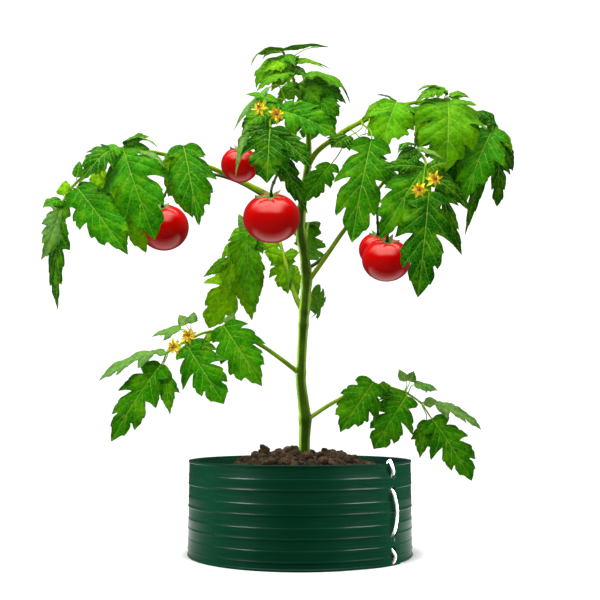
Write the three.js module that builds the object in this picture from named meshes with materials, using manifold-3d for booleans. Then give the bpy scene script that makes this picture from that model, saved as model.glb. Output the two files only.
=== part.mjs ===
// Tomato plant in a raised bed made of a rolled plastic edging strip.
// Millimetres, +Z up. The origin is the middle of the bed's footprint, on the ground.
// -Y is the front of the plant.

import * as THREE from 'three';
import { mergeVertices } from 'three/addons/utils/BufferGeometryUtils.js';
import Module from 'manifold-3d';

const wasm = await Module();
wasm.setup();

// ---- driving dimensions -------------------------------------------------

const GAP = 0.35;                 // air left between neighbouring solids
const JOIN_TOLERANCE = 0.02;      // edges shorter than this are closed up in a join

// Bed: one ribbed strip rolled into a ring, its ends lapped and laced.
const BED_RADIUS = 147.5;         // outer face between the ribs
const BED_HEIGHT = 122;
const WALL = 2;
const RIB_RISE = 0.7;
const RIB_WIDTH = 13;             // flat top of a rib
const RIB_SHOULDER = 1.6;         // height of its sloping side
const RIB_MIDDLES = [16.4, 42.4, 70, 98.6];
const LAP_START = 44;             // degrees from the front, towards +X
const LAP_END = 54;
const LAP_RUN_IN = 18;            // degrees over which the strip steps out
const LAP_STEP = WALL + RIB_RISE + 0.4;
const STRIP_STEP = 10;            // degrees between stations

// Cord: a running stitch through four holes in the lap.
const LACE_ANGLE = 49;
const CORD_RADIUS = 2;
const HOLE_HEIGHTS = [107, 90, 36, 18];
const NOTCH_WIDTH = 7;            // under the wall, so that the cord lifts nothing
const NOTCH_HEIGHT = 8;

// Soil: a heap that stands above the rim and slopes to the wall.
const SOIL_TOP = 126;
const SOIL_EDGE = 102;
const SOIL_FLAT = 52;             // radius of the heap's top
const SOIL_FOOT = 118;            // radius where its slope ends
const SOIL_RINGS = 10;
const SOIL_SECTORS = 32;
const CLODS = 70;

// Leaflet blades.
const SHOOT_SIDES = 4;
const BLADE = 1;                  // thickness
const HEEL = 1.5;                 // half width of a blade's root, and its run past it
const NECK_AT = 0.8;              // share of the stalk where the blade begins to open
const SHORT_STALK = 0.08;         // a stalk below this share of a leaflet is left out
const ROOT_SPREAD = 1.2;          // roots at one joint keep a little apart
const ROOT_PLACES = 60;           // places along a bar where a leaflet may root
const FOLD = 0.3;                 // how far the halves rise from the midrib
const CUP = 0.5;                  // how far their margins curl down
const RIPPLE = 0.09;
const RIPPLE_TURNS = 15;          // radians of ripple along a margin
const RIPPLE_SHIFT = 2;           // between the two margins
const JITTER_ALONG = 0.05;
const JITTER_ACROSS = 0.24;
const FACING = [0, -1, 0.35];     // the way that the upper faces look

// Half outlines from root to tip: share of the length, share of the half width.
const CUTS = {
  broad: [[0.13, 0.8], [0.2, 0.6], [0.47, 1], [0.5, 0.72], [0.78, 0.66]],
  deep: [[0.1, 0.7], [0.17, 0.42], [0.47, 1], [0.45, 0.5], [0.76, 0.72], [0.76, 0.38]],
  plain: [[0.18, 0.68], [0.52, 1], [0.55, 0.66]],
  slim: [[0.3, 1], [0.66, 0.62]],
};
const RIB_STOPS = { broad: [0.3, 0.62], deep: [0.3, 0.62], plain: [0.45], slim: [0.45] };

// Main stem, trusses and fruit.
const STEM_SIDES = 10;
const STEM_STEPS = 24;
const BAR_RADIUS = 2.6;
const PEDICEL_RADIUS = 1.9;
const PEDICEL_SIDES = 5;
const PEDICEL_STEPS = 5;
const PEDICEL_DROP = 9;
const PEDICEL_RISE = 2;           // of the knee over the bar
const SEPALS = 5;
const SEPAL_WIDTH = 6;
const SEPAL_THICK = 0.9;
const SEPAL_LIFT = 1.2;           // off the skin
const SEPAL_CURL = 4;             // rise of the tips
const FRUIT_SIDES = 12;
const FRUIT_RINGS = 8;
const FRUIT_DENT = 3;             // hollow under the calyx
const FRUIT_DENT_SPREAD = 0.35;
const TRUSS_SEED = 20;
const CALYX_SEED_STEP = 9;

// Blooms: a star of petals, a pollen cone and a stalk.
const PETALS = 6;
const PETAL_LENGTH = 11;
const PETAL_WIDTH = 6;
const PETAL_THICK = 0.9;
const PETAL_SWEEP = 3;            // how far a petal's tip leans back
const CONE_RADIUS = 2.2;
const CONE_LENGTH = 6;
const CONE_SIDES = 7;
const CONE_WAIST = 0.9;           // share of its radius at half its length
const CONE_TIP = 0.35;
const STALK_RADIUS = 1.1;
const STALK_SIDES = 5;
const STALK_STEPS = 3;
const STALK_BEND = 7;             // straight run behind a bloom
const STALK_DIP = 2;
const STALK_GAP = GAP * 1.5;
const BLOOM_SEED = 60;

// Stars, for petals and calyxes.
const STAR_SHOULDER = 0.45;       // share of a ray's length where it is widest
const STAR_WEB = 0.45;            // share of a ray's breadth left between two rays
const STAR_TURN = 0.15;           // share of a step that a ray may turn
const STAR_WIDEST = 0.8;          // share of half a step that half a ray takes at most
const STAR_SHORTEST = 0.85;       // share of the reach
const STAR_SPREAD = 0.3;

// Small measures of the bed, cord and soil.
const RIM_RISE = 0.8;
const RIM_HEIGHT = 2.4;
const NOTCH_DEPTH = 24;
const CORD_STEPS = 46;
const CORD_SEGMENTS = 3;          // a half turn of its section
const CORD_CLEAR = GAP * 0.8;     // round the cord in its holes
const CORD_SLOPE = CORD_RADIUS * 1.8;
const HOLE_PLAY = 0.7;            // round the stem's foot
const GROOVE_RADIUS = 13;         // room for the cord between soil and wall
const GROOVE_SIDES = 12;
const CLOD_SMALL = 7;
const CLOD_LARGE = 17;
const CLOD_HEIGHT = 0.6;          // share of its radius
const CLOD_SEED = 500;

// Main stem: centre line and radius at each point, from its foot in the soil.
const STEM_HOLE_FLOOR = 62;
const STEM = [
  [6, 0, 62.4, 7.4], [6, 0, 105, 7.4], [6, 0, 148, 7.4], [7, 0, 174, 8.2], [4, 0, 201, 7.4],
  [1, 0, 229, 6.8], [2, 0, 255, 6.4], [5, 0, 311, 6.7], [7, 0, 338, 7.1], [9, 0, 366, 7.2],
  [5, 0, 408, 6.6], [1, 0, 433, 6.7], [1, 0, 458, 6.4], [4, 0, 479, 6], [8, 0, 508, 5.4],
  [11, 0, 530, 5.1], [12, 0, 552, 4.4], [11, 0, 580, 3.6], [6, 0, 613, 3.1], [-1, 0, 636, 2.5],
  [-6, 0, 650, 2.2],
];

// Shoots and leaves: the bar's centre line and end radii, then its leaflets as
// root, tip, width, roll in degrees, arch as a share of the length, and cut.
const SHOOTS = {
  leaf_upper_left: {
    seed: 5,
    path: [[1, 0, 461], [-54, 19, 496], [-98, 29, 520], [-134, 16, 533], [-183, 0, 543],
      [-229, -16, 545], [-269, -29, 528], [-296, -38, 501], [-310, -45, 482], [-317, -48, 466]],
    radii: [4.6, 1.4],
    leaflets: [
      [[-161, -16, 556], [-134, -54, 431], 69, -8, 0.1, 'broad'],
      [[-187, 10, 543], [-149, 0, 453], 40, 12, 0.06, 'plain'],
      [[-243, -29, 545], [-189, -74, 407], 92, 5, 0.12, 'deep'],
      [[-296, -51, 480], [-221, -86, 385], 67, 0, 0.08, 'broad'],
      [[-299, -45, 486], [-234, -54, 453], 28, 10, 0.08, 'slim'],
      [[-257, -35, 537], [-286, -93, 477], 42, -15, 0.18, 'broad'],
      [[-283, 10, 513], [-212, -6, 403], 52, 10, 0.08, 'deep'],
      [[-266, 6, 542], [-292, 3, 491], 37, 0, 0.1, 'plain'],
      [[-317, -51, 462], [-314, -67, 316], 41, 32, 0.05, 'broad'],
      [[-320, -53, 459], [-333, -86, 378], 35, -45, 0.05, 'broad'],
    ],
  },
  leaf_top: {
    seed: 1,
    path: [[-6, 0, 645], [-14, -6, 667], [-20, -10, 683], [-24, -10, 692]],
    radii: [2.2, 1.2],
    leaflets: [
      [[-26, -8, 694], [39, -40, 686], 15, -66, 0.08, 'slim'],
      [[-23, -8, 691], [-67, -48, 655], 23, 58, 0.2, 'slim'],
      [[-18, -8, 684], [-62, -19, 635], 49, 25, 0.15, 'broad'],
      [[-11, -10, 671], [43, -3, 669], 14, -55, 0.14, 'slim'],
    ],
  },
  leaf_top_right: {
    seed: 5,
    path: [[1, 0, 628], [3, 13, 650], [9, 19, 665]],
    radii: [2.2, 1.4],
    leaflets: [
      [[6, 16, 664], [73, 35, 632], 56, -38, 0.26, 'broad'],
      [[9, 19, 656], [50, 6, 577], 68, -15, 0.1, 'broad'],
      [[3, 32, 652], [19, 115, 603], 69, 0, 0.12, 'deep'],
      [[0, 35, 656], [-43, 96, 632], 57, 10, 0.12, 'broad'],
    ],
  },
  shoot_top_front: {
    seed: 30,
    path: [[8, 0, 586], [-8, -32, 594], [-27, -67, 585], [-38, -96, 564], [-38, -115, 544]],
    radii: [2.6, 1.5],
    leaflets: [
      [[-29, -70, 584], [49, -80, 545], 69, -5, 0.08, 'deep'],
      [[-22, -35, 640], [-87, -83, 551], 27, 48, 0.22, 'slim'],
      [[-43, -67, 602], [-82, -109, 480], 26, 38, 0.12, 'slim'],
      [[-43, -54, 608], [-78, -80, 540], 41, 10, 0.1, 'broad'],
      [[-38, -118, 543], [-41, -138, 466], 74, 0, 0.06, 'deep'],
      [[-36, -117, 540], [15, -128, 487], 39, 0, 0.08, 'broad'],
      [[-36, -115, 518], [10, -93, 437], 30, 10, 0.1, 'broad'],
    ],
  },
  leaf_upper_right: {
    seed: 24,
    path: [[12, 0, 532], [25, -10, 547], [46, -16, 562], [69, -22, 576], [94, -26, 588],
      [125, -26, 601], [156, -22, 612], [206, -16, 617], [237, -19, 606], [257, -22, 587],
      [268, -26, 570]],
    radii: [4.0, 1.4],
    leaflets: [
      [[134, -32, 608], [107, -58, 530], 77, 5, 0.12, 'broad'],
      [[205, -22, 613], [193, -67, 500], 117, 0, 0.15, 'deep'],
      [[103, -61, 543], [66, -102, 397], 84, 0, 0.08, 'deep'],
      [[101, -64, 540], [41, -74, 531], 35, 5, 0.1, 'plain'],
      [[79, -74, 516], [4, -61, 458], 43, 5, 0.1, 'broad'],
      [[87, -74, 517], [125, -83, 469], 34, -5, 0.1, 'broad'],
      [[209, -3, 579], [218, -16, 471], 52, 0, 0.1, 'deep'],
      [[265, -32, 568], [216, -61, 456], 71, 10, 0.12, 'broad'],
      [[270, -19, 548], [268, -29, 462], 36, -10, 0.1, 'deep'],
      [[200, 6, 621], [209, 90, 564], 80, 0, 0.12, 'deep'],
      [[260, 0, 592], [269, 64, 541], 52, 0, 0.12, 'broad'],
    ],
  },
  shoot_right: {
    seed: 17,
    path: [[10, 0, 362], [34, -13, 394], [59, -22, 429], [84, -35, 459], [111, -45, 490],
      [131, -58, 515], [148, -70, 528], [161, -83, 516], [165, -96, 491], [165, -106, 464]],
    radii: [3.4, 1.4],
    leaflets: [
      [[164, -90, 503], [100, -109, 400], 62, 0, 0.08, 'broad'],
      [[164, -109, 462], [144, -134, 323], 78, 0, 0.06, 'deep'],
      [[180, -86, 504], [205, -102, 382], 28, 30, 0.06, 'deep'],
      [[182, -86, 495], [221, -90, 438], 20, 0, 0.06, 'slim'],
    ],
  },
  shoot_lower_left: {
    seed: 4,
    path: [[1, 0, 236], [-27, -13, 257], [-51, -22, 273], [-76, -32, 285], [-103, -42, 291],
      [-125, -51, 288], [-148, -61, 276], [-170, -70, 261]],
    radii: [3.4, 1.2],
    leaflets: [
      [[-101, -51, 299], [-48, -80, 217], 67, 0, 0.08, 'broad'],
      [[-145, -70, 269], [-94, -99, 194], 63, 5, 0.08, 'deep'],
      [[-175, -77, 243], [-233, -99, 148], 60, 0, 0.08, 'deep'],
      [[-177, -77, 238], [-162, -93, 181], 29, 0, 0.06, 'plain'],
      [[-172, -74, 260], [-251, -96, 223], 46, 42, 0.1, 'deep'],
      [[-152, -51, 292], [-192, -64, 281], 28, 35, 0.15, 'plain'],
    ],
  },
  leaf_lower_right: {
    seed: 4,
    path: [[8, 0, 174], [44, 13, 197], [72, 22, 211], [105, 32, 221], [129, 38, 219], [155, 45, 209],
      [171, 48, 198]],
    radii: [3.0, 1.2],
    leaflets: [
      [[103, 24, 228], [54, 2, 158], 65, 0, 0.08, 'broad'],
      [[149, 32, 207], [100, 10, 135], 66, -5, 0.08, 'deep'],
      [[183, 42, 174], [234, 19, 92], 66, 0, 0.08, 'deep'],
      [[175, 48, 199], [251, 32, 161], 48, -42, 0.1, 'deep'],
    ],
  },
  leaf_mid_left: {
    seed: 2,
    path: [[1, 0, 425], [-29, 42, 457], [-56, 74, 464], [-76, 90, 457], [-81, 96, 434], [-81, 96, 408],
      [-79, 93, 390]],
    radii: [2.8, 1.3],
    leaflets: [
      [[-87, 93, 459], [-109, 86, 350], 43, 25, 0.1, 'deep'],
      [[-73, 83, 450], [-99, 67, 400], 46, 0, 0.12, 'broad'],
      [[-75, 74, 442], [-63, 51, 326], 42, 20, 0.1, 'broad'],
      [[-81, 106, 410], [-135, 96, 308], 77, 0, 0.08, 'deep'],
      [[-80, 102, 394], [-71, 93, 319], 40, 0, 0.08, 'slim'],
    ],
  },
  leaf_back: {
    seed: 2,
    path: [[5, 0, 321], [-4, 22, 341], [-12, 51, 367], [-24, 99, 416], [-32, 125, 448]],
    radii: [4.2, 2.6],
    leaflets: [
      [[-27, 112, 417], [-18, 99, 360], 47, 0, 0.1, 'broad'],
      [[-31, 128, 442], [-42, 192, 484], 51, 0, 0.12, 'deep'],
    ],
  },
  leaf_back_right: {
    seed: 1,
    path: [[6, 0, 414], [9, 29, 434], [12, 58, 459], [13, 83, 463]],
    radii: [2.4, 1.3],
    leaflets: [
      [[12, 83, 463], [22, 179, 426], 56, 78, 0.12, 'deep'],
      [[10, 54, 456], [17, 112, 430], 42, 82, 0.1, 'broad'],
    ],
  },
  leaf_back_low: {
    seed: 1,
    path: [[7, 0, 302], [13, 29, 331], [16, 54, 356]],
    radii: [2.2, 1.3],
    leaflets: [
      [[16, 54, 356], [25, 147, 338], 54, 80, 0.12, 'deep'],
      [[16, 48, 355], [19, 93, 333], 35, 84, 0.1, 'broad'],
    ],
  },
};

// Trusses: a bar's centre line, then its fruit with half width, half height, reach
// of the calyx and the point of the bar that it hangs from.
const TRUSSES = {
  truss_centre: {
    bar: [[4, 0, 493], [-12, -8, 502], [-31, -19, 511], [-51, -16, 532], [-66, -26, 551], [-80, -46, 554]],
    fruits: [
      { name: 'fruit_1', at: [-38, -45, 443], across: 38, high: 32.8, sepal: 19, from: [-31, -19, 511] },
      { name: 'fruit_2', at: [-81, -50, 515], across: 25.5, high: 23.9, sepal: 13, from: [-80, -46, 554] },
    ],
  },
  truss_left: {
    bar: [[2, 0, 449], [-21, 22, 471], [-53, 30, 493], [-92, 36, 516], [-133, 44, 529], [-170, 52, 525],
      [-191, 52, 513]],
    fruits: [
      { name: 'fruit_3', at: [-197, 50, 451], across: 36, high: 33.3, sepal: 17, from: [-191, 52, 513] },
    ],
  },
  truss_right: {
    bar: [[8, 0, 380], [33, 12, 400], [60, 12, 437], [86, 8, 466], [109, -6, 466], [121, -26, 447]],
    fruits: [
      { name: 'fruit_4', at: [115, -45, 386], across: 32.2, high: 28.4, sepal: 15, from: [121, -26, 447] },
      { name: 'fruit_5', at: [109, 24, 413], across: 26, high: 24, sepal: 12, from: [107, -4, 467] },
    ],
  },
};

// Blooms: where each hangs, the way it faces and the shoot it grows from.
const BLOOMS = [
  { on: 'shoot_top_front', at: [-51, -126, 567], face: [-0.45, -0.85, 0.25], from: [-38, -96, 564] },
  { on: 'shoot_top_front', at: [-30, -128, 558], face: [0.35, -0.9, -0.1], from: [-39, -97, 560] },
  { on: 'shoot_right', at: [149, -132, 459], face: [-0.4, -0.9, -0.1], from: [166, -90, 508] },
  { on: 'shoot_right', at: [167, -134, 471], face: [0.4, -0.85, 0.2], from: [170, -95, 500] },
  { on: 'shoot_lower_left', at: [-140, -104, 279], face: [0.3, -0.9, 0.2], from: [-147, -62, 276] },
  { on: 'shoot_lower_left', at: [-157, -103, 265], face: [-0.45, -0.85, -0.05], from: [-153, -64, 272] },
];

// ---- solids -------------------------------------------------------------

const V = (p) => new THREE.Vector3(p[0], p[1], p[2]);
const rad = THREE.MathUtils.degToRad;

// Repeatable value in 0..1 for a whole number.
function chance(n) {
  const wave = Math.sin(n * 12.9898 + 4.1414) * 43758.5453;
  return wave - Math.floor(wave);
}

function toSolid(geometry) {
  const bare = geometry.clone();
  bare.deleteAttribute('normal');
  bare.deleteAttribute('uv');
  const merged = mergeVertices(bare, 1e-4);
  return new wasm.Manifold(new wasm.Mesh({
    numProp: 3,
    vertProperties: new Float32Array(merged.attributes.position.array),
    triVerts: new Uint32Array(merged.index.array),
  }));
}

function toGeometry(solid) {
  const mesh = solid.simplify(JOIN_TOLERANCE).getMesh();
  const geometry = new THREE.BufferGeometry();
  geometry.setAttribute('position', new THREE.BufferAttribute(mesh.vertProperties, 3));
  geometry.setIndex(new THREE.BufferAttribute(mesh.triVerts, 1));
  geometry.computeVertexNormals();
  return geometry;
}

function meshFrom(points, triangles) {
  const geometry = new THREE.BufferGeometry();
  const flat = points.flatMap((p) => [p.x, p.y, p.z]);
  geometry.setAttribute('position', new THREE.Float32BufferAttribute(flat, 3));
  geometry.setIndex(triangles.flat());
  return geometry;
}

function join(solids) {
  return solids.reduce((sum, next) => sum.add(next));
}

// A round bar that narrows along a smooth centre line.
function taper(points, radii, sides, steps) {
  const curve = new THREE.CatmullRomCurve3(points, false, 'centripetal');
  const frames = curve.computeFrenetFrames(steps, false);
  const at = new THREE.Vector3();
  const ring = [];
  const faces = [];
  for (let i = 0; i <= steps; i += 1) {
    const t = i / steps;
    curve.getPointAt(t, at);
    const place = t * (radii.length - 1);
    const low = Math.min(Math.floor(place), radii.length - 2);
    const radius = THREE.MathUtils.lerp(radii[low], radii[low + 1], place - low);
    for (let j = 0; j < sides; j += 1) {
      const turn = (j / sides) * Math.PI * 2;
      ring.push(at.clone()
        .addScaledVector(frames.normals[i], Math.cos(turn) * radius)
        .addScaledVector(frames.binormals[i], Math.sin(turn) * radius));
    }
  }
  for (let i = 0; i < steps; i += 1) {
    for (let j = 0; j < sides; j += 1) {
      const a = i * sides + j;
      const b = i * sides + ((j + 1) % sides);
      faces.push([a, b, a + sides], [b, b + sides, a + sides]);
    }
  }
  for (let j = 1; j < sides - 1; j += 1) {
    const last = steps * sides;
    faces.push([0, j + 1, j], [last, last + j, last + j + 1]);
  }
  return toSolid(meshFrom(ring, faces));
}

// ---- blades -------------------------------------------------------------

// Local axes of a blade: along, across and out of its upper face.
function bladeAxes(root, tip, roll) {
  const along = tip.clone().sub(root).normalize();
  const facing = V(FACING).normalize();
  const up = facing.clone().addScaledVector(along, -facing.dot(along)).normalize();
  const side = new THREE.Vector3().crossVectors(along, up);
  const turn = rad(roll);
  const out = up.clone().multiplyScalar(Math.cos(turn)).addScaledVector(side, Math.sin(turn));
  const across = side.clone().multiplyScalar(Math.cos(turn)).addScaledVector(up, -Math.sin(turn));
  return { along, across, out };
}

// Closes a sheet of triangles into a plate, with the same triangles on both faces.
function plate(points, faces, rim, out, thick) {
  const count = points.length;
  const both = [
    ...points.map((p) => p.clone().addScaledVector(out, thick / 2)),
    ...points.map((p) => p.clone().addScaledVector(out, -thick / 2)),
  ];
  const shell = [...faces, ...faces.map(([a, b, c]) => [a + count, c + count, b + count])];
  rim.forEach((a, i) => {
    const b = rim[(i + 1) % rim.length];
    shell.push([a, a + count, b], [b, a + count, b + count]);
  });
  return toSolid(meshFrom(both, shell));
}

// Triangles between a half outline and the midrib, both from root to tip.
function zip(edge, rib, flip) {
  const faces = [];
  let i = 0;
  let j = 0;
  while (i < edge.length - 1 || j < rib.length - 1) {
    const edgeNext = (i + 1) / (edge.length - 1);
    const ribNext = (j + 1) / (rib.length - 1);
    const onEdge = j >= rib.length - 1 || (i < edge.length - 1 && edgeNext <= ribNext);
    const next = onEdge ? edge[i + 1] : rib[j + 1];
    const face = flip ? [edge[i], rib[j], next] : [rib[j], edge[i], next];
    if (new Set(face).size === 3) {
      faces.push(face);
    }
    i += onEdge ? 1 : 0;
    j += onEdge ? 0 : 1;
  }
  return faces;
}

// A leaflet from its root on a bar to its tip. Its stalk is a share of that length.
function bladeSolid({ root, tip, stalk, width, roll, arch, cut, seed }) {
  const length = root.distanceTo(tip);
  const { along, across, out } = bladeAxes(root, tip, roll);
  const half = width / 2;
  const wave = chance(seed) * Math.PI * 2;
  const surface = (s, v) => {
    const edge = Math.abs(v);
    const lift = arch * length * 4 * s * (1 - s)
      + half * (FOLD * edge - CUP * edge * edge)
      + half * RIPPLE * edge * Math.sin(s * RIPPLE_TURNS + wave + (v > 0 ? 0 : RIPPLE_SHIFT));
    return root.clone().addScaledVector(along, s * length)
      .addScaledVector(across, v * half).addScaledVector(out, lift);
  };
  const outline = (sign) => CUTS[cut].map(([s, v], i) => {
    const pull = chance(seed * 31 + i * 7 + (sign > 0 ? 0 : 3)) - 0.5;
    return surface(stalk + (1 - stalk) * (s + pull * JITTER_ALONG), sign * v * (1 + pull * JITTER_ACROSS));
  });
  const heel = (sign) => root.clone().addScaledVector(along, -HEEL).addScaledVector(across, sign * HEEL);
  const neck = (sign) => (stalk > SHORT_STALK ? [surface(stalk * NECK_AT, (sign * HEEL) / half)] : []);
  const left = [heel(1), ...neck(1), ...outline(1)];
  const right = [heel(-1), ...neck(-1), ...outline(-1)];
  const rib = RIB_STOPS[cut].map((s) => surface(stalk + (1 - stalk) * s, 0));
  const points = [...left, ...right, ...rib, tip];
  const last = points.length - 1;
  const leftIds = left.map((_, i) => i);
  const rightIds = right.map((_, i) => left.length + i);
  const ribIds = rib.map((_, i) => left.length + right.length + i);
  const faces = [
    ...zip([...leftIds, last], [leftIds[0], ...ribIds, last], false),
    ...zip([...rightIds, last], [rightIds[0], ...ribIds, last], true),
    [leftIds[0], ribIds[0], rightIds[0]],
  ];
  const rim = [...leftIds, last, ...rightIds.reverse()];
  return plate(points, faces, rim, out, BLADE);
}

// A star of pointed rays round an axis. rise(r) is its height at distance r.
function starSolid({ centre, axis, rays, reach, breadth, thick, rise, seed }) {
  const side = new THREE.Vector3(0.3, 0.2, 1).cross(axis).normalize();
  const up = axis.clone().cross(side);
  const at = (turn, r) => centre.clone()
    .addScaledVector(side, Math.cos(turn) * r)
    .addScaledVector(up, Math.sin(turn) * r)
    .addScaledVector(axis, rise(r));
  const turnOf = (i) => ((i + chance(seed + ((i + rays) % rays)) * STAR_TURN) / rays) * Math.PI * 2;
  const widest = (STAR_WIDEST * Math.PI) / rays;
  const wide = Math.min(Math.asin(breadth / (2 * STAR_SHOULDER * reach)), widest);
  const points = [at(0, 0)];
  const rim = [];
  for (let i = 0; i < rays; i += 1) {
    const turn = turnOf(i);
    const long = reach * (STAR_SHORTEST + chance(seed + i * 3) * STAR_SPREAD);
    points.push(
      at((turnOf(i - 1) + turn) / 2, breadth * STAR_WEB),
      at(turn - wide, long * STAR_SHOULDER),
      at(turn, long),
      at(turn + wide, long * STAR_SHOULDER),
    );
    rim.push(1 + i * 4, 2 + i * 4, 3 + i * 4, 4 + i * 4);
  }
  const faces = [];
  rim.forEach((a, k) => {
    const b = rim[(k + 1) % rim.length];
    if (k % 4 === 1) {
      faces.push([a, a + 1, a + 2]);
      faces.push([0, a, a + 2]);
    } else if (k % 4 !== 2) {
      faces.push([0, a, b]);
    }
  });
  return plate(points, faces, rim, axis, thick);
}

// ---- the plant ----------------------------------------------------------

function stemSolid(extra) {
  const points = STEM.map(([x, y, z], i) => new THREE.Vector3(x, y, i === 0 ? z - extra : z));
  points[points.length - 1].z += extra;
  return taper(points, stemRadii(points, extra), STEM_SIDES, STEM_STEPS);
}

// Radius at even steps along the line, read between the listed points.
function stemRadii(points, extra) {
  const run = [0];
  points.slice(1).forEach((p, i) => run.push(run[i] + p.distanceTo(points[i])));
  const total = run[run.length - 1];
  return Array.from({ length: STEM_STEPS + 1 }, (_, k) => {
    const at = (k / STEM_STEPS) * total;
    const i = Math.min(run.findIndex((r) => r >= at - 1e-6) || 1, run.length - 1);
    const share = (at - run[i - 1]) / (run[i] - run[i - 1]);
    return THREE.MathUtils.lerp(STEM[i - 1][3], STEM[i][3], share) + extra;
  });
}

// The body that a part keeps after a cut: the largest, without loose chips.
function largest(solid) {
  return solid.decompose().sort((a, b) => b.volume() - a.volume())[0];
}

function nearest(places, to) {
  return places.reduce((best, p) => (p.distanceTo(to) < best.distanceTo(to) ? p : best)).clone();
}

function shootSolid(name, shoot) {
  const { seed } = shoot;
  const points = shoot.path.map(V);
  const curve = new THREE.CatmullRomCurve3(points, false, 'centripetal');
  const places = curve.getSpacedPoints(ROOT_PLACES);
  const solids = [taper(points, shoot.radii, SHOOT_SIDES, points.length)];
  shoot.leaflets.forEach(([start, end, width, roll, arch, cut], i) => {
    const tip = V(end);
    const from = V(start);
    const root = nearest(places, from);
    root.add(V([0, 1, 2].map((k) => (chance(seed * 90 + i * 3 + k) - 0.5) * ROOT_SPREAD)));
    const stalk = root.distanceTo(from) / root.distanceTo(tip);
    solids.push(bladeSolid({ root, tip, stalk, width, roll, arch, cut, seed: seed * 40 + i }));
  });
  BLOOMS.filter((bloom) => bloom.on === name).forEach((bloom) => {
    const face = V(bloom.face).normalize();
    const end = V(bloom.at).addScaledVector(face, -PETAL_THICK / 2 - STALK_GAP);
    const bend = end.clone().addScaledVector(face, -STALK_BEND);
    bend.z -= STALK_DIP;
    const line = [nearest(places, V(bloom.from)), bend, end];
    solids.push(taper(line, [STALK_RADIUS, STALK_RADIUS], STALK_SIDES, STALK_STEPS));
  });
  return join(solids);
}

// Height of a fruit's skin over its middle at distance r from its axis.
function skin(fruit, r) {
  const round = fruit.high * Math.sqrt(Math.max(0, 1 - (r / fruit.across) ** 2));
  return round - FRUIT_DENT * Math.exp(-((r / (fruit.across * FRUIT_DENT_SPREAD)) ** 2));
}

function fruitSolid(fruit, extra) {
  const grown = { ...fruit, across: fruit.across + extra, high: fruit.high + extra };
  const profile = [];
  for (let i = 0; i <= FRUIT_RINGS; i += 1) {
    const turn = (i / FRUIT_RINGS) * Math.PI;
    const r = i % FRUIT_RINGS === 0 ? 0 : Math.sin(turn) * grown.across;
    const z = i < FRUIT_RINGS / 2 ? skin(grown, r) : Math.cos(turn) * grown.high;
    profile.push(new THREE.Vector2(r, z));
  }
  const geometry = new THREE.LatheGeometry(profile.reverse(), FRUIT_SIDES);
  geometry.rotateX(Math.PI / 2);
  geometry.translate(...fruit.at);
  return toSolid(geometry);
}

function trussSolid(truss, seed) {
  const bar = truss.bar.map(V);
  const solids = [taper(bar, [BAR_RADIUS, PEDICEL_RADIUS], SHOOT_SIDES, bar.length + 2)];
  truss.fruits.forEach((fruit, k) => {
    const middle = V(fruit.at);
    const crown = middle.clone();
    crown.z += skin(fruit, 0) + SEPAL_LIFT;
    const above = crown.clone();
    above.z += PEDICEL_DROP;
    const knee = V(fruit.from).lerp(above, 0.5);
    knee.z += PEDICEL_RISE;
    const line = [V(fruit.from), knee, above, crown];
    solids.push(taper(line, [PEDICEL_RADIUS, PEDICEL_RADIUS], PEDICEL_SIDES, PEDICEL_STEPS));
    solids.push(starSolid({
      centre: middle,
      axis: new THREE.Vector3(0, 0, 1),
      rays: SEPALS,
      reach: fruit.sepal,
      breadth: SEPAL_WIDTH,
      thick: SEPAL_THICK,
      rise: (r) => skin(fruit, r) + SEPAL_LIFT + SEPAL_CURL * (r / fruit.sepal) ** 2,
      seed: seed + k * CALYX_SEED_STEP,
    }));
  });
  const fused = join(solids);
  return truss.fruits.reduce((left, fruit) => left.subtract(fruitSolid(fruit, GAP)), fused);
}

function petalsSolid(bloom, seed) {
  return starSolid({
    centre: V(bloom.at),
    axis: V(bloom.face).normalize(),
    rays: PETALS,
    reach: PETAL_LENGTH,
    breadth: PETAL_WIDTH,
    thick: PETAL_THICK,
    rise: (r) => -PETAL_SWEEP * (r / PETAL_LENGTH) ** 2,
    seed,
  });
}

function coneSolid(bloom) {
  const profile = [
    [0, 0],
    [CONE_RADIUS, 0],
    [CONE_RADIUS * CONE_WAIST, CONE_LENGTH / 2],
    [CONE_RADIUS * CONE_TIP, CONE_LENGTH],
    [0, CONE_LENGTH],
  ].map(([r, h]) => new THREE.Vector2(r, h));
  const geometry = new THREE.LatheGeometry(profile, CONE_SIDES);
  const face = V(bloom.face).normalize();
  geometry.applyQuaternion(new THREE.Quaternion().setFromUnitVectors(new THREE.Vector3(0, 1, 0), face));
  const foot = V(bloom.at).addScaledVector(face, PETAL_THICK / 2 + GAP);
  geometry.translate(...foot.toArray());
  return toSolid(geometry);
}

// ---- the bed ------------------------------------------------------------

function polar(radius, degrees, z) {
  return new THREE.Vector3(radius * Math.sin(rad(degrees)), -radius * Math.cos(rad(degrees)), z);
}

// Height and rise of the strip's outer face, from the bottom rim to the top.
function stripProfile() {
  const outer = [[0, RIM_RISE], [RIM_HEIGHT, RIM_RISE], [RIM_HEIGHT + RIM_RISE, 0]];
  RIB_MIDDLES.forEach((middle) => {
    const flat = RIB_WIDTH / 2;
    outer.push([middle - flat - RIB_SHOULDER, 0], [middle - flat, RIB_RISE]);
    outer.push([middle + flat, RIB_RISE], [middle + flat + RIB_SHOULDER, 0]);
  });
  const rim = BED_HEIGHT - RIM_HEIGHT;
  outer.push([rim - RIM_RISE, 0], [rim, RIM_RISE], [BED_HEIGHT, RIM_RISE]);
  return [...outer, [BED_HEIGHT, -WALL], [0, -WALL]];
}

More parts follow.
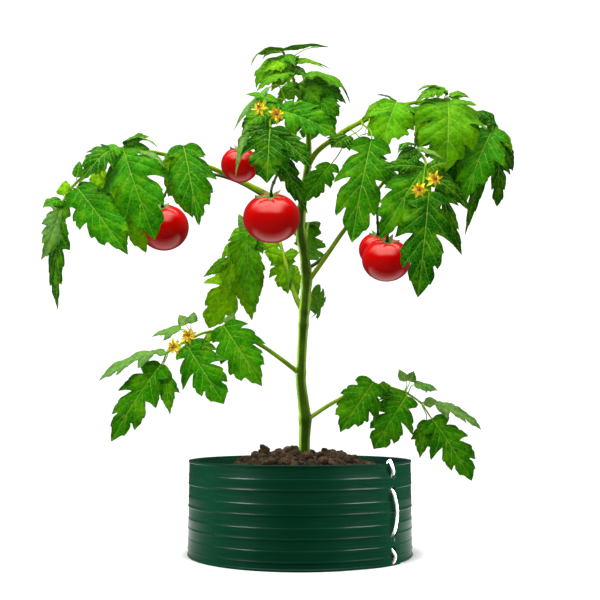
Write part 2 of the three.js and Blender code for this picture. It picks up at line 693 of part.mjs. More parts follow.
function wallSolid(cordClear) {
  const profile = stripProfile();
  const count = profile.length;
  const last = 360 + LAP_END;
  const stations = Math.ceil((last - LAP_START) / STRIP_STEP);
  const points = [];
  const faces = [];
  for (let i = 0; i <= stations; i += 1) {
    const angle = LAP_START + ((last - LAP_START) * i) / stations;
    const step = THREE.MathUtils.smoothstep(angle, 360 + LAP_START - LAP_RUN_IN, 360 + LAP_START - 1);
    profile.forEach(([z, rise]) => points.push(polar(BED_RADIUS + rise + step * LAP_STEP, angle, z)));
  }
  for (let i = 0; i < stations; i += 1) {
    for (let j = 0; j < count; j += 1) {
      const a = i * count + j;
      const b = i * count + ((j + 1) % count);
      faces.push([a, a + count, b], [b, a + count, b + count]);
    }
  }
  const flat = profile.map(([z, rise]) => new THREE.Vector2(rise, z));
  THREE.ShapeUtils.triangulateShape(flat, []).forEach(([a, b, c]) => {
    const end = stations * count;
    faces.push([a, b, c], [end + a, end + c, end + b]);
  });
  const notch = new THREE.BoxGeometry(NOTCH_WIDTH, NOTCH_DEPTH, NOTCH_HEIGHT * 2);
  notch.rotateZ(rad(LACE_ANGLE));
  notch.translate(...polar(BED_RADIUS, LACE_ANGLE, 0).toArray());
  const strip = toSolid(meshFrom(points, faces));
  return largest(strip.subtract(toSolid(notch)).subtract(cordClear));
}

// Centre line of the cord, as distance from the bed's axis and height.
function cordRoute() {
  const inside = (BED_RADIUS - WALL) * Math.cos(rad(STRIP_STEP / 2)) - CORD_RADIUS - GAP;
  const tail = inside - 2 * CORD_RADIUS - GAP;
  const outside = BED_RADIUS + LAP_STEP + RIB_RISE + CORD_RADIUS + GAP;
  const middle = (inside + outside) / 2;
  const over = BED_HEIGHT + CORD_RADIUS + GAP;
  const [first, second, third, fourth] = HOLE_HEIGHTS;
  const thread = (z, inwards) => [
    [inwards ? outside : inside, z + CORD_SLOPE],
    [middle, z],
    [inwards ? inside : outside, z - CORD_SLOPE],
  ];
  return [
    [tail, first - 12], [tail, first + 2], [inside - 1, BED_HEIGHT - 1], [middle, over + 0.8],
    [outside + 0.6, BED_HEIGHT - 1], ...thread(first, true), ...thread(second, false),
    [outside + 1.5, (second + third) / 2], ...thread(third, true), ...thread(fourth, false),
    [outside - 0.5, 9], [middle, CORD_RADIUS + GAP], [inside, 6], [inside, 13],
  ].map(([r, z]) => polar(r, LACE_ANGLE, z));
}

function cordSolid(radius) {
  const section = new THREE.Shape();
  section.absarc(0, 0, radius, 0, Math.PI * 2);
  const geometry = new THREE.ExtrudeGeometry(section, {
    curveSegments: CORD_SEGMENTS,
    steps: CORD_STEPS,
    extrudePath: new THREE.CatmullRomCurve3(cordRoute(), false, 'centripetal'),
  });
  return toSolid(geometry);
}

// Height of the soil: heap, clods as rounded bumps, and a fine crumb.
const clods = Array.from({ length: CLODS }, (_, i) => {
  const r = SOIL_FOOT * Math.sqrt(chance(CLOD_SEED + i * 3));
  const angle = chance(CLOD_SEED + i * 3 + 1) * 360;
  const size = CLOD_SMALL + (CLOD_LARGE - CLOD_SMALL) * chance(CLOD_SEED + i * 3 + 2) ** 2;
  return { centre: polar(r, angle, 0), size };
});

function soilHeight(x, y) {
  const r = Math.hypot(x, y);
  const fall = THREE.MathUtils.smoothstep(r, SOIL_FLAT, SOIL_FOOT);
  const bump = clods.reduce((most, { centre, size }) => {
    const away = Math.hypot(x - centre.x, y - centre.y) / size;
    return away < 1 ? Math.max(most, size * CLOD_HEIGHT * Math.sqrt(1 - away * away)) : most;
  }, 0);
  return SOIL_TOP + (SOIL_EDGE - SOIL_TOP) * fall + bump;
}

function soilSolid() {
  const outer = (BED_RADIUS - WALL) * Math.cos(rad(STRIP_STEP / 2)) - GAP;
  const points = [new THREE.Vector3(0, 0, 0), new THREE.Vector3(0, 0, soilHeight(0, 0))];
  const faces = [];
  for (let j = 0; j < SOIL_SECTORS; j += 1) {
    const angle = (j / SOIL_SECTORS) * 360;
    points.push(polar(outer, angle, 0));
    for (let i = SOIL_RINGS; i >= 1; i -= 1) {
      const p = polar((outer * i) / SOIL_RINGS, angle, 0);
      p.z = i === SOIL_RINGS ? SOIL_EDGE : soilHeight(p.x, p.y);
      points.push(p);
    }
  }
  const column = SOIL_RINGS + 1;
  for (let j = 0; j < SOIL_SECTORS; j += 1) {
    const a = 2 + j * column;
    const b = 2 + ((j + 1) % SOIL_SECTORS) * column;
    faces.push([0, b, a], [1, a + SOIL_RINGS, b + SOIL_RINGS]);
    for (let i = 0; i < SOIL_RINGS; i += 1) {
      faces.push([a + i, b + i, a + i + 1], [b + i, b + i + 1, a + i + 1]);
    }
  }
  const [x, y, , radius] = STEM[0];
  const depth = SOIL_TOP + CLOD_LARGE * 2 - STEM_HOLE_FLOOR;
  const hole = new THREE.CylinderGeometry(radius + HOLE_PLAY, radius + HOLE_PLAY, depth, STEM_SIDES);
  hole.rotateX(Math.PI / 2);
  hole.translate(x, y, STEM_HOLE_FLOOR + depth / 2);
  const groove = new THREE.CylinderGeometry(GROOVE_RADIUS, GROOVE_RADIUS, BED_HEIGHT * 3, GROOVE_SIDES);
  groove.rotateX(Math.PI / 2);
  groove.translate(...polar(outer, LACE_ANGLE, 0).toArray());
  return toSolid(meshFrom(points, faces)).subtract(toSolid(hole)).subtract(toSolid(groove));
}

// ---- the object ---------------------------------------------------------

function finish(color, roughness) {
  return () => new THREE.MeshStandardMaterial({ color, roughness, metalness: 0 });
}

const PAINT = {
  bed: finish(0x06351f, 0.35),
  cord: finish(0xe9ebe6, 0.8),
  soil: finish(0x4a3626, 1),
  stem: finish(0x55802a, 0.55),
  leaf: finish(0x2f7a0c, 0.55),
  truss: finish(0x4b7a1c, 0.6),
  fruit: finish(0xb30b06, 0.2),
  petal: finish(0xf0c419, 0.6),
  cone: finish(0xc97a10, 0.6),
};

const plant = new THREE.Group();

function place(name, solid, paint) {
  const mesh = new THREE.Mesh(toGeometry(solid), PAINT[paint]());
  mesh.name = name;
  plant.add(mesh);
}

const stemClear = stemSolid(GAP);
place('bed_wall', wallSolid(cordSolid(CORD_RADIUS + CORD_CLEAR)), 'bed');
place('lacing_cord', cordSolid(CORD_RADIUS), 'cord');
place('soil', soilSolid(), 'soil');
place('main_stem', stemSolid(0), 'stem');
Object.entries(SHOOTS).forEach(([name, shoot]) => {
  place(name, largest(shootSolid(name, shoot).subtract(stemClear)), 'leaf');
});
Object.entries(TRUSSES).forEach(([name, truss], i) => {
  place(name, largest(trussSolid(truss, TRUSS_SEED + i).subtract(stemClear)), 'truss');
  truss.fruits.forEach((fruit) => place(fruit.name, fruitSolid(fruit, 0), 'fruit'));
});
BLOOMS.forEach((bloom, i) => {
  place(`petals_${i + 1}`, petalsSolid(bloom, BLOOM_SEED + i), 'petal');
  place(`cone_${i + 1}`, coneSolid(bloom), 'cone');
});

export default plant;
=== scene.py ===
"""Looks of a tomato plant in a raised bed made of a rolled plastic edging strip.

Every piece is built in mesh code in the frame's own place. Shapes are in millimetres and are
turned into metres where a mesh is made; materials and lights are in metres. -Y is the front.
"""

import math
import random

import bmesh
import bpy
import numpy as np
from mathutils import Matrix, Vector, noise
from mathutils.geometry import delaunay_2d_cdt


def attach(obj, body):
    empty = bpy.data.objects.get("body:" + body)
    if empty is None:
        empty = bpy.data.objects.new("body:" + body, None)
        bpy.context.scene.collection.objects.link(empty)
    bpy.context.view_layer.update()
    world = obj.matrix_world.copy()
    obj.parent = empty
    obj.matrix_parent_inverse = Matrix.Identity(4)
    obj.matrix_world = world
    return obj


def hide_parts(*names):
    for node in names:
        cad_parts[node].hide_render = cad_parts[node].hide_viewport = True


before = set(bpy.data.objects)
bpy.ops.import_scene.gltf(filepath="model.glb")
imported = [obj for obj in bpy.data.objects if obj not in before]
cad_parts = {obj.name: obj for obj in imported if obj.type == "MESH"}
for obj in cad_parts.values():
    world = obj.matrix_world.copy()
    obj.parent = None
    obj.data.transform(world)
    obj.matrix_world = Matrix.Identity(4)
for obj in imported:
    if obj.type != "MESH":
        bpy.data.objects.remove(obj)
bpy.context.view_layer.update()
MM = 0.001
NOISE_SEED = 7
noise.seed_set(NOISE_SEED)

# ---- camera -------------------------------------------------------------

CAMERA_AT = (0, -1191, 178.5)
CAMERA_PITCH = 7.63               # degrees above level
CAMERA_LENS = 52.38
SENSOR = 36
CLIP_NEAR, CLIP_FAR = 0.01, 50


def in_scene(name, data):
    """A new object in the scene for a mesh, light or camera."""
    item = bpy.data.objects.new(name, data)
    bpy.context.scene.collection.objects.link(item)
    return item


def add_camera():
    data = bpy.data.cameras.new("camera")
    data.lens, data.sensor_width = CAMERA_LENS, SENSOR
    data.clip_start, data.clip_end = CLIP_NEAR, CLIP_FAR
    camera = in_scene("camera", data)
    camera.location = Vector(CAMERA_AT) * MM
    camera.rotation_euler = (math.radians(90 + CAMERA_PITCH), 0, 0)
    bpy.context.scene.camera = camera


add_camera()

# ---- dimensions shared with the solids ----------------------------------

GAP = 0.35
BED_RADIUS = 147.5
BED_HEIGHT = 122
WALL = 2
BED_INSIDE = (BED_RADIUS - WALL) * math.cos(math.radians(5))    # clear of the solid's flat sides
RIB_RISE = 0.7
RIB_MIDDLES = (16.4, 42.4, 70, 98.6)
RIM_RISE = 0.8
RIM_HEIGHT = 2.4
LAP_START = 44
LAP_END = 54
LAP_RUN_IN = 18
LAP_STEP = WALL + RIB_RISE + 0.4
LACE_ANGLE = 49
CORD_RADIUS = 2
CORD_SLOPE = CORD_RADIUS * 1.8
HOLE_HEIGHTS = (107, 90, 36, 18)
NOTCH_WIDTH = 7
NOTCH_HEIGHT = 8
SOIL_TOP = 126
SOIL_EDGE = 102
SOIL_FLAT = 52
SOIL_FOOT = 118
CLODS = 70
CLOD_SMALL = 7
CLOD_LARGE = 17
CLOD_HEIGHT = 0.6
CLOD_SEED = 500
# The main stem's centre line, with its radius at each point.
STEM = (
    (6, 0, 62.4, 7.4), (6, 0, 105, 7.4), (6, 0, 148, 7.4), (7, 0, 174, 8.2), (4, 0, 201, 7.4),
    (1, 0, 229, 6.8), (2, 0, 255, 6.4), (5, 0, 311, 6.7), (7, 0, 338, 7.1), (9, 0, 366, 7.2),
    (5, 0, 408, 6.6), (1, 0, 433, 6.7), (1, 0, 458, 6.4), (4, 0, 479, 6), (8, 0, 508, 5.4),
    (11, 0, 530, 5.1), (12, 0, 552, 4.4), (11, 0, 580, 3.6), (6, 0, 613, 3.1), (-1, 0, 636, 2.5),
    (-6, 0, 650, 2.2),
)
# Leaves and leafy shoots: seed, radii of the bar's ends, its centre line, then leaflets as start,
# tip, width, roll in degrees, arch, cut and tone, a tone holding painted light too (see TONES).
# The solids lack the small ones that end a list.
SHOOTS = {
    'leaf_upper_left': (5, (4.6, 1.4), (
        (1, 0, 461), (-54, 19, 496), (-98, 29, 520), (-134, 16, 533), (-183, 0, 543), (-229, -16, 545),
        (-269, -29, 528), (-296, -38, 501), (-310, -45, 482), (-317, -48, 466),
    ), (
        ((-161, -16, 556), (-134, -54, 431), 69, -8, 0.1, 'broad', 'mid'),
        ((-187, 10, 543), (-149, 0, 453), 40, 12, 0.06, 'plain', 'lime_backlit'),
        ((-243, -29, 545), (-189, -74, 407), 92, 5, 0.12, 'deep', 'mid'),
        ((-296, -51, 480), (-221, -86, 385), 67, 0, 0.08, 'broad', 'mid'),
        ((-299, -45, 486), (-234, -54, 453), 28, 10, 0.08, 'slim', 'dark'),
        ((-257, -35, 537), (-286, -93, 477), 42, -15, 0.18, 'broad', 'dark'),
        ((-283, 10, 513), (-212, -6, 403), 52, 10, 0.08, 'deep', 'lime_backlit'),
        ((-266, 6, 542), (-292, 3, 491), 37, 0, 0.1, 'plain', 'lime_backlit'),
        ((-317, -51, 462), (-314, -67, 316), 41, 32, 0.05, 'broad', 'dark'),
        ((-320, -53, 459), (-333, -86, 378), 35, -45, 0.05, 'broad', 'pale'),
        ((-243, -26, 545), (-192, -48, 539), 22, -60, 0.25, 'slim', 'pale'),
        ((-231, -29, 541), (-180, -58, 508), 22, -35, 0.12, 'slim', 'pale'),
        ((-303, -42, 499), (-301, -32, 526), 15, 20, 0.1, 'slim', 'mid'),
        ((-319, -48, 472), (-317, -42, 496), 19, 0, 0.1, 'slim', 'lime_backlit'),
        ((-319, -50, 464), (-340, -64, 452), 25, 10, 0.15, 'slim', 'mid'),
        ((-240, -26, 547), (-205, -40, 557), 26, -20, 0.2, 'broad', 'mid'),
        ((-246, -34, 543), (-271, -60, 521), 34, 8, 0.15, 'broad', 'mid'),
        ((-164, -14, 550), (-184, -30, 528), 20, 10, 0.14, 'plain', 'mid'),
        ((-159, -12, 552), (-130, -30, 531), 22, -5, 0.14, 'plain', 'mid'),
    )),
    'leaf_top': (1, (2.2, 1.2), (
        (-6, 0, 645), (-14, -6, 667), (-20, -10, 683), (-24, -10, 692),
    ), (
        ((-26, -8, 694), (39, -40, 686), 15, -66, 0.08, 'slim', 'mid'),
        ((-23, -8, 691), (-67, -48, 655), 23, 58, 0.2, 'slim', 'pale'),
        ((-18, -8, 684), (-62, -19, 635), 49, 25, 0.15, 'broad', 'light'),
        ((-11, -10, 671), (43, -3, 669), 14, -55, 0.14, 'slim', 'lime_backlit'),
        ((-11, -13, 668), (0, -19, 683), 14, 0, 0.1, 'slim', 'light'),
        ((-20, -8, 687), (-6, -30, 661), 20, 0, 0.12, 'plain', 'mid'),
        ((-17, -12, 676), (-53, -30, 651), 34, 15, 0.12, 'broad', 'lime_backlit'),
        ((-14, -14, 669), (-47, -28, 637), 30, -5, 0.12, 'broad', 'light'),
        ((-11, -12, 661), (-40, -36, 623), 28, 5, 0.1, 'plain', 'lime_backlit'),
        ((-10, -14, 655), (-60, -44, 620), 30, 20, 0.14, 'broad', 'light'),
        ((-24, -10, 690), (-53, -30, 671), 14, 30, 0.2, 'slim', 'lime_backlit'),
        ((-13, -8, 669), (10, -24, 649), 18, 0, 0.1, 'plain', 'dark'),
        ((17, -30, 686), (40, -40, 686), 15, -50, 0.1, 'plain', 'light'),
        ((-10, -10, 677), (35, -14, 665), 16, -25, 0.14, 'slim', 'lime_backlit'),
    )),
    'leaf_top_right': (5, (2.2, 1.4), (
        (1, 0, 628), (3, 13, 650), (9, 19, 665),
    ), (
        ((6, 16, 664), (73, 35, 632), 56, -38, 0.26, 'broad', 'light'),
        ((9, 19, 656), (50, 6, 577), 68, -15, 0.1, 'broad', 'mid'),
        ((3, 32, 652), (19, 115, 603), 69, 0, 0.12, 'deep', 'mid'),
        ((0, 35, 656), (-43, 96, 632), 57, 10, 0.12, 'broad', 'mid'),
        ((4, 14, 660), (45, 22, 668), 28, -20, 0.14, 'broad', 'light'),
        ((3, 18, 655), (28, 0, 620), 36, 0, 0.1, 'broad', 'light'),
        ((6, 24, 649), (50, 4, 599), 50, -5, 0.1, 'broad', 'mid'),
        ((-1, 10, 649), (-31, -10, 616), 36, 8, 0.12, 'broad', 'light'),
        ((7, 16, 658), (67, 26, 628), 44, -10, 0.12, 'broad', 'mid'),
    )),
    'shoot_top_front': (30, (2.6, 1.5), (
        (8, 0, 586), (-8, -32, 594), (-27, -67, 585), (-38, -96, 564), (-38, -115, 544),
    ), (
        ((-29, -70, 584), (49, -80, 545), 69, -5, 0.08, 'deep', 'mid'),
        ((-22, -35, 640), (-87, -83, 551), 27, 48, 0.22, 'slim', 'pale'),
        ((-43, -67, 602), (-82, -109, 480), 26, 38, 0.12, 'slim', 'pale'),
        ((-43, -54, 608), (-78, -80, 540), 41, 10, 0.1, 'broad', 'mid'),
        ((-38, -118, 543), (-41, -138, 466), 74, 0, 0.06, 'deep', 'dark'),
        ((-36, -117, 540), (15, -128, 487), 39, 0, 0.08, 'broad', 'dark'),
        ((-36, -115, 518), (10, -93, 437), 30, 10, 0.1, 'broad', 'dark'),
        ((-14, -42, 600), (-25, -70, 569), 41, 10, 0.1, 'broad', 'mid'),
        ((-22, -29, 641), (-52, -51, 605), 27, 10, 0.12, 'plain', 'light'),
        ((-40, -115, 542), (-76, -125, 529), 23, 0, 0.1, 'plain', 'dark'),
        ((-28, -66, 593), (-67, -82, 584), 30, 10, 0.12, 'broad', 'mid'),
        ((-31, -64, 596), (-72, -76, 604), 22, 20, 0.14, 'plain', 'light'),
        ((-38, -90, 575), (-73, -106, 549), 38, 5, 0.1, 'broad', 'mid'),
        ((-31, -74, 582), (-57, -92, 547), 30, 0, 0.1, 'plain', 'mid'),
        ((-20, -56, 591), (27, -60, 585), 36, -10, 0.1, 'broad', 'light'),
        ((-12, -36, 595), (43, -30, 572), 48, -5, 0.1, 'broad', 'mid'),
        ((-6, -24, 597), (22, -20, 567), 34, 0, 0.1, 'broad', 'mid'),
    )),
    'leaf_upper_right': (24, (4, 1.4), (
        (12, 0, 532), (25, -10, 547), (46, -16, 562), (69, -22, 576), (94, -26, 588), (125, -26, 601),
        (156, -22, 612), (206, -16, 617), (237, -19, 606), (257, -22, 587), (268, -26, 570),
    ), (
        ((134, -32, 608), (107, -58, 530), 77, 5, 0.12, 'broad', 'light'),
        ((205, -22, 613), (193, -67, 500), 117, 0, 0.15, 'deep', 'light'),
        ((103, -61, 543), (66, -102, 397), 84, 0, 0.08, 'deep', 'mid'),
        ((101, -64, 540), (41, -74, 531), 35, 5, 0.1, 'plain', 'dark'),
        ((79, -74, 516), (4, -61, 458), 43, 5, 0.1, 'broad', 'mid'),
        ((87, -74, 517), (125, -83, 469), 34, -5, 0.1, 'broad', 'mid'),
        ((209, -3, 579), (218, -16, 471), 52, 0, 0.1, 'deep', 'dark'),
        ((265, -32, 568), (216, -61, 456), 71, 10, 0.12, 'broad', 'mid'),
        ((270, -19, 548), (268, -29, 462), 36, -10, 0.1, 'deep', 'dark'),
        ((200, 6, 621), (209, 90, 564), 80, 0, 0.12, 'deep', 'mid'),
        ((260, 0, 592), (269, 64, 541), 52, 0, 0.12, 'broad', 'lime_backlit'),
        ((133, -26, 611), (107, -16, 626), 19, 55, 0.15, 'slim', 'light'),
        ((205, -13, 621), (161, -32, 624), 26, 50, 0.3, 'plain', 'light'),
        ((208, -13, 623), (236, -26, 618), 20, -55, 0.12, 'slim', 'light'),
        ((208, -19, 613), (246, -13, 588), 39, -30, 0.12, 'plain', 'mid'),
        ((112, -67, 541), (85, -77, 548), 16, 20, 0.15, 'slim', 'pale'),
        ((268, -10, 534), (226, -16, 424), 20, 20, 0.08, 'slim', 'mid'),
        ((266, -29, 572), (242, -35, 596), 33, 20, 0.2, 'plain', 'dark'),
        ((269, -22, 570), (295, -10, 542), 33, -30, 0.2, 'plain', 'lime_backlit'),
        ((274, -16, 558), (298, -3, 520), 27, 0, 0.1, 'plain', 'dark'),
        ((187, 3, 602), (162, 10, 556), 26, 0, 0.08, 'slim', 'lime_backlit'),
        ((204, -18, 628), (158, -40, 607), 28, 15, 0.25, 'broad', 'light'),
        ((209, -16, 623), (234, -24, 621), 20, -10, 0.15, 'plain', 'light'),
        ((204, -20, 611), (142, -40, 570), 44, 0, 0.1, 'broad', 'mid'),
        ((205, -20, 610), (247, -40, 561), 38, 0, 0.1, 'broad', 'mid'),
        ((185, 4, 602), (165, 0, 556), 20, 0, 0.08, 'slim', 'lime_backlit'),
        ((116, -28, 608), (87, -44, 583), 26, 5, 0.14, 'plain', 'light'),
        ((119, -26, 606), (142, -44, 573), 28, 0, 0.12, 'plain', 'light'),
        ((248, -22, 599), (265, -40, 561), 30, -10, 0.12, 'plain', 'dark'),
        ((198, 0, 610), (212, -10, 548), 30, 0, 0.1, 'broad', 'mid'),
        ((229, -4, 611), (237, -10, 548), 34, 0, 0.1, 'deep', 'dark'),
    )),
    'shoot_right': (17, (3.4, 1.4), (
        (10, 0, 362), (34, -13, 394), (59, -22, 429), (84, -35, 459), (111, -45, 490), (131, -58, 515),
        (148, -70, 528), (161, -83, 516), (165, -96, 491), (165, -106, 464),
    ), (
        ((164, -90, 503), (100, -109, 400), 62, 0, 0.08, 'broad', 'mid'),
        ((164, -109, 462), (144, -134, 323), 78, 0, 0.06, 'deep', 'dark'),
        ((180, -86, 504), (205, -102, 382), 28, 30, 0.06, 'deep', 'dark'),
        ((182, -86, 495), (221, -90, 438), 20, 0, 0.06, 'slim', 'dark'),
        ((150, -93, 497), (104, -99, 496), 23, 0, 0.12, 'plain', 'dark'),
        ((150, -77, 529), (126, -96, 516), 21, 40, 0.3, 'plain', 'dark'),
        ((153, -77, 529), (185, -96, 508), 14, -20, 0.1, 'slim', 'pale'),
        ((151, -84, 525), (124, -96, 508), 22, 5, 0.12, 'plain', 'dark'),
        ((154, -86, 520), (126, -100, 492), 26, 0, 0.1, 'plain', 'dark'),
        ((164, -98, 494), (191, -104, 503), 24, -5, 0.12, 'plain', 'dark'),
        ((165, -98, 486), (207, -100, 454), 26, 0, 0.1, 'slim', 'dark'),
    )),
    'shoot_lower_left': (4, (3.4, 1.2), (
        (1, 0, 236), (-27, -13, 257), (-51, -22, 273), (-76, -32, 285), (-103, -42, 291),
        (-125, -51, 288), (-148, -61, 276), (-170, -70, 261),
    ), (
        ((-101, -51, 299), (-48, -80, 217), 67, 0, 0.08, 'broad', 'mid'),
        ((-145, -70, 269), (-94, -99, 194), 63, 5, 0.08, 'deep', 'mid'),
        ((-175, -77, 243), (-233, -99, 148), 60, 0, 0.08, 'deep', 'mid'),
        ((-177, -77, 238), (-162, -93, 181), 29, 0, 0.06, 'plain', 'mid'),
        ((-172, -74, 260), (-251, -96, 223), 46, 42, 0.1, 'deep', 'pale'),
        ((-152, -51, 292), (-192, -64, 281), 28, 35, 0.15, 'plain', 'pale'),
        ((-97, -38, 299), (-88, -32, 318), 16, 0, 0.1, 'slim', 'pale'),
        ((-147, -67, 270), (-105, -77, 263), 23, 0, 0.12, 'plain', 'dark'),
        ((-150, -45, 295), (-161, -38, 313), 19, 0, 0.1, 'slim', 'pale'),
        ((-149, -45, 295), (-141, -38, 317), 15, 0, 0.1, 'slim', 'pale'),
        ((-112, -35, 288), (-128, -29, 279), 15, 0, 0.1, 'slim', 'lime_backlit'),
    )),
    'leaf_lower_right': (4, (3, 1.2), (
        (8, 0, 174), (44, 13, 197), (72, 22, 211), (105, 32, 221), (129, 38, 219), (155, 45, 209),
        (171, 48, 198),
    ), (
        ((103, 24, 228), (54, 2, 158), 65, 0, 0.08, 'broad', 'mid'),
        ((149, 32, 207), (100, 10, 135), 66, -5, 0.08, 'deep', 'mid'),
        ((183, 42, 174), (234, 19, 92), 66, 0, 0.08, 'deep', 'mid'),
        ((175, 48, 199), (251, 32, 161), 48, -42, 0.1, 'deep', 'pale'),
        ((109, 32, 227), (129, 38, 206), 22, 0, 0.1, 'plain', 'light'),
        ((149, 35, 207), (109, 26, 202), 24, 0, 0.12, 'plain', 'dark'),
        ((182, 42, 174), (165, 29, 122), 32, 0, 0.06, 'plain', 'mid'),
        ((158, 42, 224), (193, 38, 215), 27, -35, 0.15, 'plain', 'pale'),
        ((155, 42, 227), (140, 45, 246), 17, 0, 0.1, 'slim', 'pale'),
        ((156, 42, 227), (161, 45, 243), 16, 0, 0.1, 'slim', 'pale'),
    )),
    'leaf_mid_left': (2, (2.8, 1.3), (
        (1, 0, 425), (-29, 42, 457), (-56, 74, 464), (-76, 90, 457), (-81, 96, 434), (-81, 96, 408),
        (-79, 93, 390),
    ), (
        ((-87, 93, 459), (-109, 86, 350), 43, 25, 0.1, 'deep', 'lime_backlit'),
        ((-73, 83, 450), (-99, 67, 400), 46, 0, 0.12, 'broad', 'light'),
        ((-75, 74, 442), (-63, 51, 326), 42, 20, 0.1, 'broad', 'light'),
        ((-81, 106, 410), (-135, 96, 308), 77, 0, 0.08, 'deep', 'lime_backlit'),
        ((-80, 102, 394), (-71, 93, 319), 40, 0, 0.08, 'slim', 'lime_backlit'),
        ((-82, 90, 453), (-93, 96, 482), 15, 0, 0.1, 'slim', 'pale'),
        ((-71, 83, 445), (-54, 74, 416), 26, 0, 0.1, 'plain', 'light'),
        ((-108, 80, 413), (-142, 70, 381), 21, 0, 0.08, 'slim', 'light'),
        ((-78, 99, 424), (-58, 99, 362), 33, 0, 0.08, 'plain', 'lime_backlit'),
    )),
    'leaf_back': (2, (4.2, 2.6), (
        (5, 0, 321), (-4, 22, 341), (-12, 51, 367), (-24, 99, 416), (-32, 125, 448),
    ), (
        ((-27, 112, 417), (-18, 99, 360), 47, 0, 0.1, 'broad', 'lime_backlit'),
        ((-31, 128, 442), (-42, 192, 484), 51, 0, 0.12, 'deep', 'light'),
        ((-24, 106, 415), (-54, 96, 423), 33, 0, 0.1, 'plain', 'lime_backlit'),
        ((-23, 106, 418), (-1, 93, 421), 23, 0, 0.1, 'plain', 'lime_backlit'),
        ((-4, 70, 404), (-16, 38, 355), 19, 45, 0.06, 'slim', 'light'),
        ((-10, 86, 398), (-4, 58, 344), 26, 0, 0.1, 'plain', 'lime_backlit'),
        ((-31, 122, 435), (-59, 138, 453), 37, 0, 0.12, 'plain', 'lime_backlit'),
    )),
    'leaf_back_right': (1, (2.4, 1.3), (
        (6, 0, 414), (9, 29, 434), (12, 58, 459), (13, 83, 463),
    ), (
        ((12, 83, 463), (22, 179, 426), 56, 78, 0.12, 'deep', 'light'),
        ((10, 54, 456), (17, 112, 430), 42, 82, 0.1, 'broad', 'light'),
        ((12, 64, 461), (29, 96, 459), 26, -60, 0.1, 'slim', 'pale'),
    )),
    'leaf_back_low': (1, (2.2, 1.3), (
        (7, 0, 302), (13, 29, 331), (16, 54, 356),
    ), (
        ((16, 54, 356), (25, 147, 338), 54, 80, 0.12, 'deep', 'light'),
        ((16, 48, 355), (19, 93, 333), 35, 84, 0.1, 'broad', 'light'),
    )),
}
# Trusses: the bar's centre line, then fruit as name, middle, radius across and up, length of the
# sepals, and where the pedicel starts.
TRUSSES = {
    'truss_centre': (
        ((4, 0, 493), (-12, -8, 502), (-31, -19, 511), (-51, -16, 532), (-66, -26, 551), (-80, -46, 554)),
        (('fruit_1', (-38, -45, 443), 38, 32.8, 19, (-31, -19, 511)),
         ('fruit_2', (-81, -50, 515), 25.5, 23.9, 13, (-80, -46, 554))),
    ),
    'truss_left': (
        ((2, 0, 449), (-21, 22, 471), (-53, 30, 493), (-92, 36, 516), (-133, 44, 529),
         (-170, 52, 525), (-191, 52, 513)),
        (('fruit_3', (-197, 50, 451), 36, 33.3, 17, (-191, 52, 513)),),
    ),
    'truss_right': (
        ((8, 0, 380), (33, 12, 400), (60, 12, 437), (86, 8, 466), (109, -6, 466), (121, -26, 447)),
        (('fruit_4', (115, -45, 386), 32.2, 28.4, 15, (121, -26, 447)),
         ('fruit_5', (109, 24, 413), 26, 24, 12, (107, -4, 467))),
    ),
}
# Flowers: the shoot that bears it, its middle, where it faces, and where its stalk starts.
BLOOMS = (
    ('shoot_top_front', (-51, -126, 567), (-0.45, -0.85, 0.25), (-38, -96, 564)),
    ('shoot_top_front', (-30, -128, 558), (0.35, -0.9, -0.1), (-39, -97, 560)),
    ('shoot_right', (149, -132, 459), (-0.4, -0.9, -0.1), (166, -90, 508)),
    ('shoot_right', (167, -134, 471), (0.4, -0.85, 0.2), (170, -95, 500)),
    ('shoot_lower_left', (-140, -104, 279), (0.3, -0.9, 0.2), (-147, -62, 276)),
    ('shoot_lower_left', (-157, -103, 265), (-0.45, -0.85, -0.05), (-153, -64, 272)),
)
ROOT_SPREAD = 1.2                 # spread of a leaflet's root round its place on the bar
ROOT_PLACES = 60
ANY_WAY = (0.3, 1, 0.2)           # a direction that no line starts in
PLAIN = (0.5, 0.5, 0.5)           # tone of what has none of its own

# ---- shared helpers -----------------------------------------------------


def chance(n):
    """Repeatable value in 0..1 for a whole number."""
    wave = math.sin(n * 12.9898 + 4.1414) * 43758.5453
    return wave - math.floor(wave)


def unit(v):
    v = np.asarray(v, float)
    return v / np.linalg.norm(v)


def smoothstep(low, high, x):
    t = np.clip((np.asarray(x, float) - low) / (high - low), 0, 1)
    return t * t * (3 - 2 * t)


def swelling(x, middle, spread):
    """1 in the middle, falling off as a bell."""
    return np.exp(-((x - middle) / spread) ** 2)


def polar(radius, degrees, z):
    turn = math.radians(degrees)
    return np.array((radius * math.sin(turn), -radius * math.cos(turn), z))


def nearest(line, to):
    return line[np.argmin(np.linalg.norm(line - np.asarray(to, float), axis=1))].copy()


def run_along(points):
    """Length of a line up to each of its points."""
    steps = np.linalg.norm(np.diff(points, axis=0), axis=1)
    return np.concatenate([[0], np.cumsum(steps)])


def spline(points, per_span=24):
    """Dense points on a centripetal Catmull-Rom line through the given ones."""
    p = np.asarray(points, float)
    p = np.vstack([2 * p[0] - p[1], p, 2 * p[-1] - p[-2]])
    out = []
    for a, b, c, d in zip(p, p[1:], p[2:], p[3:]):
        t0, t1, t2 = (max(np.linalg.norm(v), 1e-4) ** 0.5 for v in (b - a, c - b, d - c))
        m1 = ((b - a) / t0 - (c - a) / (t0 + t1) + (c - b) / t1) * t1
        m2 = ((c - b) / t1 - (d - b) / (t1 + t2) + (d - c) / t2) * t1
        t = np.linspace(0, 1, per_span, endpoint=False)[:, None]
        out.append(b + m1 * t + (3 * (c - b) - 2 * m1 - m2) * t ** 2
                   + (2 * (b - c) + m1 + m2) * t ** 3)
    return np.vstack(out + [p[-2:-1]])


def evenly(points, count):
    """The line read at evenly spaced places, with the share of the run at each."""
    run = run_along(points)
    at = np.linspace(0, run[-1], count)
    return np.column_stack([np.interp(at, run, points[:, k]) for k in range(3)]), at / run[-1]


